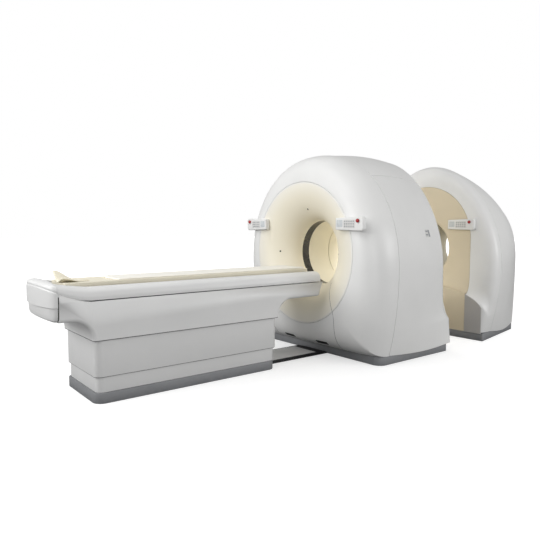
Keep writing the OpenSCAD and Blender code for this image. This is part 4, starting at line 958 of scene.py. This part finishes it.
def table_low_covers():
    """Lower and middle cover of the pedestal."""
    s = COVER_STEP
    cover_box("table_lower_cover_wall", PEDESTAL_X0 + 2 * s, PEDESTAL_X1 - 2 * s, TABLE_W - 2 * s, PEDESTAL_R,
              SKIRT_H + 0.001, LOWER_SEAM_Z + 0.018, "standing", "table_lower_cover")
    cover_box("table_middle_cover_wall", PEDESTAL_X0 + s, PEDESTAL_X1 - s, TABLE_W - s, PEDESTAL_R,
              LOWER_SEAM_Z, UPPER_SEAM_Z + 0.018, "middle_cover", "table_middle_cover")


def arc(cx, cz, r, a0, a1, n=14):
    """Arc of a circle between two angles in degrees, as x and z."""
    a = np.radians(np.linspace(a0, a1, n + 1))
    return np.column_stack([cx + r * np.cos(a), cz + r * np.sin(a)])


def table_upper_cover():
    """Upper cover: two end chains of the T-shaped side view, rounded into flat sides as a quarter circle."""
    top = DECK_Z - 0.006
    r, e = OVERHANG_R, 0.030
    gantry = np.vstack([[[TABLE_END_X, top]], arc(TABLE_END_X - e, OVERHANG_Z + e, e, 0, -90),
                        arc(PEDESTAL_X1 + r, OVERHANG_Z - r, r, 90, 180, 24), [[PEDESTAL_X1, UPPER_SEAM_Z]]])
    foot = np.vstack([[[PEDESTAL_X0, UPPER_SEAM_Z]], arc(PEDESTAL_X0 - r, OVERHANG_Z - r, r, 0, 90, 24),
                      [[FOOT_SEAM_X + 0.002, OVERHANG_Z]]])
    roll = 0.030
    a = np.linspace(0, np.pi / 2, 9)
    inset = np.concatenate([roll * (1 - np.sin(a)), roll * (1 - np.sin(a[::-1]))])
    y = np.concatenate([-(TABLE_W - roll * (1 - np.cos(a))), (TABLE_W - roll * (1 - np.cos(a[::-1])))])

    def rings(chain, open_end):
        ahead = np.gradient(chain, axis=0)
        n = np.stack([ahead[:, 1], -ahead[:, 0]], 1)
        n /= np.linalg.norm(n, axis=1, keepdims=True)
        n[0] = (1, 0) if not open_end else n[0]
        if open_end:
            n[-1] = (0, 1)
        at = chain[None] - n[None] * inset[:, None, None] * (-1 if (n * (chain - [-1.7, 0.75])).sum() < 0 else 1)
        return np.stack([at[..., 0], np.broadcast_to(y[:, None], at.shape[:2]), at[..., 1]], -1)

    g, f = rings(gantry, False), rings(foot, True)
    f[..., 2] = np.minimum(f[..., 2], top)
    upper = np.broadcast_to(np.array([FOOT_SEAM_X + 0.002, 0, top]), (len(y), 3)).copy()
    upper[:, 1] = y
    f = np.concatenate([f, upper[:, None]], 1)
    ng, nf = g.shape[1], f.shape[1]
    steps = np.arange(16)
    x = np.linspace(FOOT_SEAM_X + 0.002, RISE_X + 0.010, len(steps))
    swept = np.column_stack([x, np.full(len(x), y[0]), top + lip_rise(x)])
    points = np.concatenate([g.reshape(-1, 3), f.reshape(-1, 3), swept, mirrored(swept)])
    start = len(y) * ng
    quads = np.vstack([grid_quads(len(y), ng), grid_quads(len(y), nf) + start])
    last, lip = len(y) - 1, start + len(y) * nf
    near = [np.arange(ng), start + np.arange(nf), lip + steps]
    far = [last * ng + np.arange(ng), start + last * nf + np.arange(nf), lip + len(steps) + steps]
    plates = [np.concatenate(near), np.concatenate(far)[::-1]]
    obj = piece("table_upper_cover_shell", points, quads, plates, "table_top", table_paint,
                ["table_upper_cover"], "cover_white")
    solid = obj.modifiers.new("wall", "SOLIDIFY")
    solid.thickness, solid.offset, solid.use_even_offset = TABLE_T, -1, True


def rim_rise(x):
    """How far the rim is swept up towards the foot end: a power of the distance past the pedestal."""
    return 0.052 * np.maximum(0, (RISE_X - x) / 0.340) ** 1.3


def lip_rise(x):
    """How far the rim's lower lip is swept up: more than its top, so that the rim tapers."""
    return 0.069 * np.maximum(0, (RISE_X - x) / 0.250) ** 1.6


RIM_SHOULDER = [(0.0040, DECK_Z + 0.008), (0.0050, DECK_Z + 0.034), (0.018, RIM_Z - 0.030), (0.048, RIM_Z - 0.008),
                (0.084, RIM_Z)]


def table_deck():
    """Deck: the rim section on both sides of the tray, carried along the table with the rim's rise."""
    top = through(RIM_SHOULDER, 8)
    side = np.vstack([[[0.0, DECK_Z + 0.0024], [0.0, DECK_Z + 0.0044], [0.007, DECK_Z + 0.0064]], top,
                      [[RIM_W - 0.003, RIM_Z], [RIM_W, RIM_Z - 0.003], [RIM_W, DECK_Z + 0.0104]]])
    high = np.clip((side[:, 1] - DECK_Z) / (RIM_Z - DECK_Z), 0, 1)
    held = np.arange(len(side)) < len(side) - 1
    x = FOOT_SEAM_X - 0.0055 + (TABLE_END_X - FOOT_SEAM_X + 0.0055) * np.concatenate(
        [np.linspace(0, 0.12, 30), np.linspace(0.14, 1, 30)])
    z = side[None, :, 1] + held * (lip_rise(x)[:, None] * (1 - high) + rim_rise(x)[:, None] * high)
    left = np.stack([np.broadcast_to(x[:, None], z.shape), np.broadcast_to(TABLE_W - side[None, :, 0], z.shape), z], -1)
    under = np.stack([np.stack([x, np.full(len(x), s * (TABLE_W - 0.014)), np.full(len(x), DECK_Z + 0.0004)], -1)
                      for s in (-1, 1)], 1)
    ring = np.concatenate([left, mirrored(left)[:, ::-1], under], 1)
    piece("table_deck_rim", *capped(ring), "table_top", table_paint, ["table_deck"], "cover_white", sharp=30)


def cap_lift(x, z):
    """Lift of the foot-end cap over x and z: none below its crease, the lip's at the deck, the rim's at the top."""
    high = np.clip((z - DECK_Z) / (RIM_Z - DECK_Z), 0, 1)
    return smooth(CREASE_Z, DECK_Z, z) * (lip_rise(x) * (1 - high) + rim_rise(x) * high)


def cap_section():
    """Section of the foot-end cap: inset and height, up the outside, over the rim and down the inside."""
    low = through([(-RIM_W, OVERHANG_Z - 0.002), (-0.062, OVERHANG_Z + 0.002), (-0.024, OVERHANG_Z + 0.018),
                   (-0.009, OVERHANG_Z + 0.052)], 8)
    crease = [(-0.009, CREASE_Z - 0.008), (-0.0075, CREASE_Z - 0.004), (0, CREASE_Z), (0, DECK_Z - 0.006),
              (-0.0015, DECK_Z - 0.003), (-0.006, DECK_Z + 0.0004)]
    top = through([(-a, z) for a, z in RIM_SHOULDER], 8)
    inner = [(-RIM_W, RIM_Z), (-RIM_W, DECK_Z + 0.050), (-0.089, DECK_Z + 0.030), (-0.070, DECK_Z + 0.010),
             (-0.044, DECK_Z), (-0.044, OVERHANG_Z + 0.070), (-0.064, OVERHANG_Z + 0.034), (-RIM_W, OVERHANG_Z + 0.014)]
    return np.vstack([low, crease, top, inner]), len(low) + len(crease)


def foot_end_cap():
    """Foot-end cap: one section carried round an oval end, lifted with the rim and drawn in below its crease."""
    section, _ = cap_section()
    x0 = FOOT_SEAM_X - 0.006
    rx, ry = 0.088, TABLE_W - 0.004
    turn = np.linspace(np.pi / 2, 0, 33)
    turn = np.concatenate([turn, turn[::-1]])[:, None]
    tip, side = np.cos(turn), np.sin(turn)
    hand = np.repeat([-1.0, 1.0], 33)[:, None]
    below = 1 - smooth(CREASE_Z - 0.006, CREASE_Z, section[:, 1])[None]
    inset = section[None, :, 0] - 0.022 * tip * below
    x = x0 - np.maximum(rx + inset * 0.75, 0.004) * tip
    y = hand * (TABLE_W - ry + (ry + section[None, :, 0]) * side)
    z = section[None, :, 1] + cap_lift(x0 - rx * tip, section[None, :, 1])
    piece("foot_end_cap_moulding", *capped(np.stack([x, y, z], -1)), "table_top", table_paint,
          ["foot_end_cap"], "cover_white", sharp=30)


def foot_seam():
    """Dark seam in front of the foot-end cap: a thin strip just below the section's outside, on both sides."""
    section, outside = cap_section()
    edge = section[:outside] + [-0.005, 0]
    edge[:, 1] += cap_lift(FOOT_SEAM_X, edge[:, 1])
    front, back, wall = FOOT_SEAM_X - 0.010, FOOT_SEAM_X + 0.004, 0.012
    corners = [(front, 0), (back, 0), (back, wall), (front, wall)]
    liner = np.stack([np.column_stack([np.full(len(edge), x), TABLE_W + edge[:, 0] - a, edge[:, 1]])
                      for x, a in corners], 1)
    piece("foot_seam_shadow", *both_sides(capped(liner)), "table_top", recess)


def pallet_top(y):
    """Top of the pallet: a shallow parabola across its width."""
    return PALLET_BOTTOM + PALLET_T + 0.012 * (y / PALLET_W) ** 2


def rounded_run(x0, x1, w, r0, r1, n):
    """Stations along a plan with round corners, and the half width at each."""
    a = np.linspace(0, np.pi / 2, 13)
    first, last = x0 + r0 * (1 - np.cos(a)), x1 - r1 * (1 - np.cos(a[::-1]))
    x = np.concatenate([first, np.linspace(x0 + r0, x1 - r1, n)[1:-1], last])
    back = np.where(x < x0 + r0, x0 + r0 - x, np.where(x > x1 - r1, x - x1 + r1, 0))
    r = np.where(x < x0 + r0, r0, r1)
    return x, w - r + np.sqrt(np.maximum(0, r ** 2 - back ** 2))


def pallet():
    """Pallet: a dished top over chamfered edges, carried along a plan with round ends."""
    x, h = rounded_run(PALLET_X0, PALLET_X1, PALLET_W, 0.070, 0.070, 40)
    t = np.linspace(-1, 1, 25)
    y = h[:, None] * t[None]
    z = pallet_top(y) - np.where(np.abs(t) > 0.999, 0.004, 0)[None]
    base = h[:, None] * np.array([[1.0, 0.97, -0.97, -1.0]])
    base_z = np.broadcast_to(PALLET_BOTTOM + np.array([0.012, 0.0, 0.0, 0.012]), base.shape)
    p = np.stack([np.broadcast_to(x[:, None], (len(x), 29)), np.concatenate([y, base], 1),
                  np.concatenate([z, base_z], 1)], -1)
    piece("pallet_board", *capped(p), "tabletop", cream, ["pallet"], "bore_cream")


def pad_body():
    """Mattress before it is filled: a thin crowned form that follows the pallet's hollow."""
    room = 0.004
    x, h = rounded_run(PAD_X0 + room, PALLET_X1 - PAD_INSET - room, PALLET_W - PAD_INSET - room, 0.016, 0.054, 60)
    t = np.linspace(-1, 1, 31)
    y = h[:, None] * t[None]
    base = pallet_top(y) + REST_GAP
    crown = (PAD_T - room) * (1 - np.abs(t) ** 6 * 0.55)[None]
    p = np.concatenate([np.stack([np.broadcast_to(x[:, None], y.shape), y, base + crown], -1),
                        np.stack([np.broadcast_to(x[:, None], y.shape), y, base], -1)[:, ::-1]], 1)
    return piece("pallet_mattress", *capped(p), "tabletop", cloth, ["pallet_pad"], "pad_cloth")


def filled(obj, cap):
    """Soft body: an even voxel mesh, a short cloth run under inner pressure, and each point's way capped."""
    even = obj.modifiers.new("even", "REMESH")
    even.mode, even.voxel_size = "VOXEL", 0.006
    mesh = bpy.data.meshes.new_from_object(obj.evaluated_get(bpy.context.evaluated_depsgraph_get()))
    obj.modifiers.remove(even)
    obj.data = mesh
    cloth_run = obj.modifiers.new("fill", "CLOTH")
    cloth_run.settings.use_pressure = True
    cloth_run.settings.uniform_pressure_force = 4
    cloth_run.settings.effector_weights.gravity = 0
    cloth_run.point_cache.frame_start, cloth_run.point_cache.frame_end = 1, 20
    start = np.empty(len(mesh.vertices) * 3)
    mesh.vertices.foreach_get("co", start)
    for step in range(1, 21):
        bpy.context.scene.frame_set(step)
    swollen = obj.evaluated_get(bpy.context.evaluated_depsgraph_get()).data
    end = np.empty(len(start))
    swollen.vertices.foreach_get("co", end)
    obj.modifiers.remove(cloth_run)
    bpy.context.scene.frame_set(1)
    start, move = start.reshape(-1, 3), (end - start).reshape(-1, 3)
    far = np.linalg.norm(move, axis=1, keepdims=True)
    return mesh, start + move * np.minimum(1, cap / np.maximum(far, 1e-9))


def pallet_pad():
    """Mattress: filled by cloth pressure, held flat where it rests on the pallet."""
    pad = pad_body()
    mesh, points = filled(pad, 0.005)
    points[:, 2] = np.maximum(points[:, 2], pallet_top(points[:, 1]) + REST_GAP)
    mesh.vertices.foreach_set("co", points.ravel())
    mesh.polygons.foreach_set("use_smooth", np.ones(len(mesh.polygons), bool))
    mesh.update()
    return pad


def head_holder():
    """Head holder: a thin cradle with two wings, the far one taller, falling away to a narrow tongue."""
    x = np.concatenate([np.linspace(0, 0.012, 6), np.linspace(0.018, HOLDER_L - 0.018, 30),
                        np.linspace(HOLDER_L - 0.012, HOLDER_L, 6)])
    t = np.linspace(-1, 1, 41)
    ease = np.minimum(1, np.sqrt(np.clip(np.minimum(x, HOLDER_L - x) / 0.012, 0, 1)))
    wing = 0.06 + 0.94 * (1 - smooth(0.01, 0.165, x))
    half = 0.118 - 0.068 * smooth(0.09, 0.20, x)
    tall = np.where(t > 0, 0.078, 0.036) * np.abs(t) ** 1.5
    floor = pallet_top(0) + REST_GAP
    y = half[:, None] * t[None]
    rise = tall[None] * wing[:, None]
    wall = (0.003 + 0.006 * ease)[:, None]
    along = np.broadcast_to(PALLET_X0 + x[:, None], y.shape)
    outer = np.stack([along, y, floor + rise], -1)
    inner = np.stack([along, y * 0.95, floor + rise + wall], -1)
    p = np.concatenate([outer, inner[:, ::-1]], 1)
    piece("head_holder_cradle", *capped(p), "tabletop", cream, ["head_holder"], "bore_cream")


def dress_nodes():
    """Finishes of the CAD nodes that stay in view or inside."""
    finishes = {
        steel: ["table_base", "lift_column_base", "lift_column_stage", "lift_column_ram", "slide_rails",
                "ct_base_frame", "ct_main_bearing", "xray_tube", "tube_cooler", "pet_base_frame"],
        iron: ["top_frame", "pallet_carriage", "ct_stator", "ct_rotor", "collimator", "xray_generator",
               "detector_arc", "pet_detector_frame", "pet_detector_modules", "pet_shields"],
        brass: ["slip_ring"],
        window: ["laser_windows"],
        recess: ["front_latches", "floor_duct"],
        grey: ["cover_pulls"],
    }
    for finish, names in finishes.items():
        for name in names:
            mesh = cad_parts[name].data
            mesh.materials.clear()
            mesh.materials.append(finish)


# Stage, light and camera

def floor_sheet():
    """Pale floor: a wide sheet that the camera sees as near white, with the object's soft shadow kept."""
    mesh = bpy.data.meshes.new("floor_sheet")
    mesh.from_pydata([(-60, -60, -0.001), (60, -60, -0.001), (60, 60, -0.001), (-60, 60, -0.001)], [], [(0, 1, 2, 3)])
    f = finish_nodes("floor_pale")
    seen = add(f, "LightPath", {}).outputs["Is Camera Ray"]
    dull = clouded(f, 0.8, 3, (0.20, 0.20, 0.20), (0.22, 0.22, 0.22))
    pale = clouded(f, 0.8, 3, (0.80, 0.80, 0.80), (0.83, 0.83, 0.83))
    dress(f, mixed(f, seen, dull, pale), 0.9)
    glow = add(f, "Emission", {"Strength": 1.6}).outputs["Emission"]
    share = spread(f, sums(f, "MULTIPLY", length(f, f.coords), 0.1), 0.3, 1.0)
    mix = add(f, "MixShader", {"Fac": sums(f, "MULTIPLY", seen, share)})
    put(f, f.shader.outputs["BSDF"], mix.inputs[1])
    put(f, glow, mix.inputs[2])
    put(f, mix.outputs["Shader"], f.nodes["Material Output"].inputs["Surface"])
    mesh.materials.append(f.mat)
    obj = bpy.data.objects.new("floor_sheet", mesh)
    bpy.context.scene.collection.objects.link(obj)


def studio_world():
    """White room: even soft light on the object, and plain white where the camera looks at it."""
    world = bpy.data.worlds.new("studio_world")
    bpy.context.scene.world = world
    world.use_nodes = True
    light = world.node_tree.nodes["Background"]
    f = Finish(world, world.node_tree.nodes, world.node_tree.links, light, None)
    put(f, (1, 1, 1, 1), light.inputs["Color"])
    put(f, 0.45, light.inputs["Strength"])
    seen = add(f, "LightPath", {}).outputs
    back = add(f, "Background", {"Color": (1, 1, 1, 1), "Strength": 1.0})
    mix = add(f, "MixShader", {"Fac": sums(f, "MAXIMUM", seen["Is Camera Ray"], seen["Is Transmission Ray"])})
    put(f, light.outputs["Background"], mix.inputs[1])
    put(f, back.outputs["Background"], mix.inputs[2])
    put(f, mix.outputs["Shader"], f.nodes["World Output"].inputs["Surface"])


def area_light(name, place, target, size, power):
    """Soft rectangular lamp at a place, aimed at a target and out of the camera's sight."""
    lamp = bpy.data.lights.new(name, "AREA")
    lamp.shape, lamp.size, lamp.size_y, lamp.energy = "RECTANGLE", size[0], size[1], power
    obj = bpy.data.objects.new(name, lamp)
    bpy.context.scene.collection.objects.link(obj)
    obj.visible_camera = False
    obj.location = place
    away = np.array(place) - np.array(target)
    obj.rotation_euler = (math.atan2(math.hypot(away[0], away[1]), away[2]), 0,
                          math.atan2(away[1], away[0]) + math.pi / 2)


def lamps():
    """Soft lamps: over the table, past its foot end, high and low by the camera, at the near side and in the bore."""
    area_light("table_lamp", (-3.4, -0.2, 4.6), (0.0, 0, 1.2), (3.2, 2.4), 72)
    area_light("far_foot_lamp", (-6.8, 2.0, 2.8), (0.0, 0, 1.2), (3.5, 2.6), 185)
    area_light("camera_fill", (-5.0, -7.0, 3.0), (0.0, 0, 1.0), (4.0, 3.0), 72)
    area_light("low_fill", (-2.6, -5.6, 0.9), (-0.1, -0.2, 0.6), (1.6, 1.0), 18)
    area_light("near_side_lamp", (3.5, -6.5, 2.4), (1.6, -0.8, 1.2), (3.0, 2.0), 142)
    area_light("bore_lamp", (1.55, 0.25, 1.25), (0.3, 0, 1.05), (0.5, 0.5), 10)


def photo_camera():
    """Camera at the photograph's place and angle."""
    camera = bpy.data.cameras.new("photo_camera")
    camera.sensor_width, camera.lens = 36.0, 35.80
    obj = bpy.data.objects.new("photo_camera", camera)
    bpy.context.scene.collection.objects.link(obj)
    obj.location = (-4.0258, -4.3575, 1.3686)
    obj.rotation_euler = (math.radians(90 - 4.587), 0, math.radians(52.087 - 90))
    bpy.context.scene.camera = obj


bpy.context.scene.view_settings.view_transform = "Standard"
photo_camera()
floor_sheet()
studio_world()
lamps()

ct_front_cover()
ct_side_covers()
ct_top_cover()
ct_rear_cover()
ct_front_funnel()
sleeve("ct_scan_window_film", CT_BORE_R, WINDOW_X, WINDOW_X + WINDOW_L, window, "window_dark", "ct_scan_window")
sleeve("ct_bore_liner_tube", CT_BORE_R, WINDOW_X + WINDOW_L, REAR_FUNNEL_X - 0.003, cream, "bore_cream",
       "ct_bore_liner")
ct_rear_funnel()
plinths()
front_latches()
cover_pulls()
laser_windows()
floor_duct()
pet_front_cover()
pet_front_panel()
pet_aprons()
pet_side_covers()
pet_rear_cover()
sleeve("pet_tunnel_tube", PET_BORE_R, THROAT_X + 0.001, PET_END_X, cream, "bore_cream", "pet_tunnel")
CT_PANEL = (CT_FRONT_X - 0.0003 - PANEL_D, 0.562)
PET_PANEL = (PET_FACE_X - 0.0003 - PANEL_D, 0.372)
panels("ct", *CT_PANEL)
panels("pet", *PET_PANEL)
for hand in (1, -1):
    stop_button("ct", hand, *CT_PANEL)
    stop_button("pet", hand, *PET_PANEL)
table_low_covers()
table_upper_cover()
table_deck()
foot_end_cap()
foot_seam()
pallet()
pallet_pad()
head_holder()
dress_nodes()
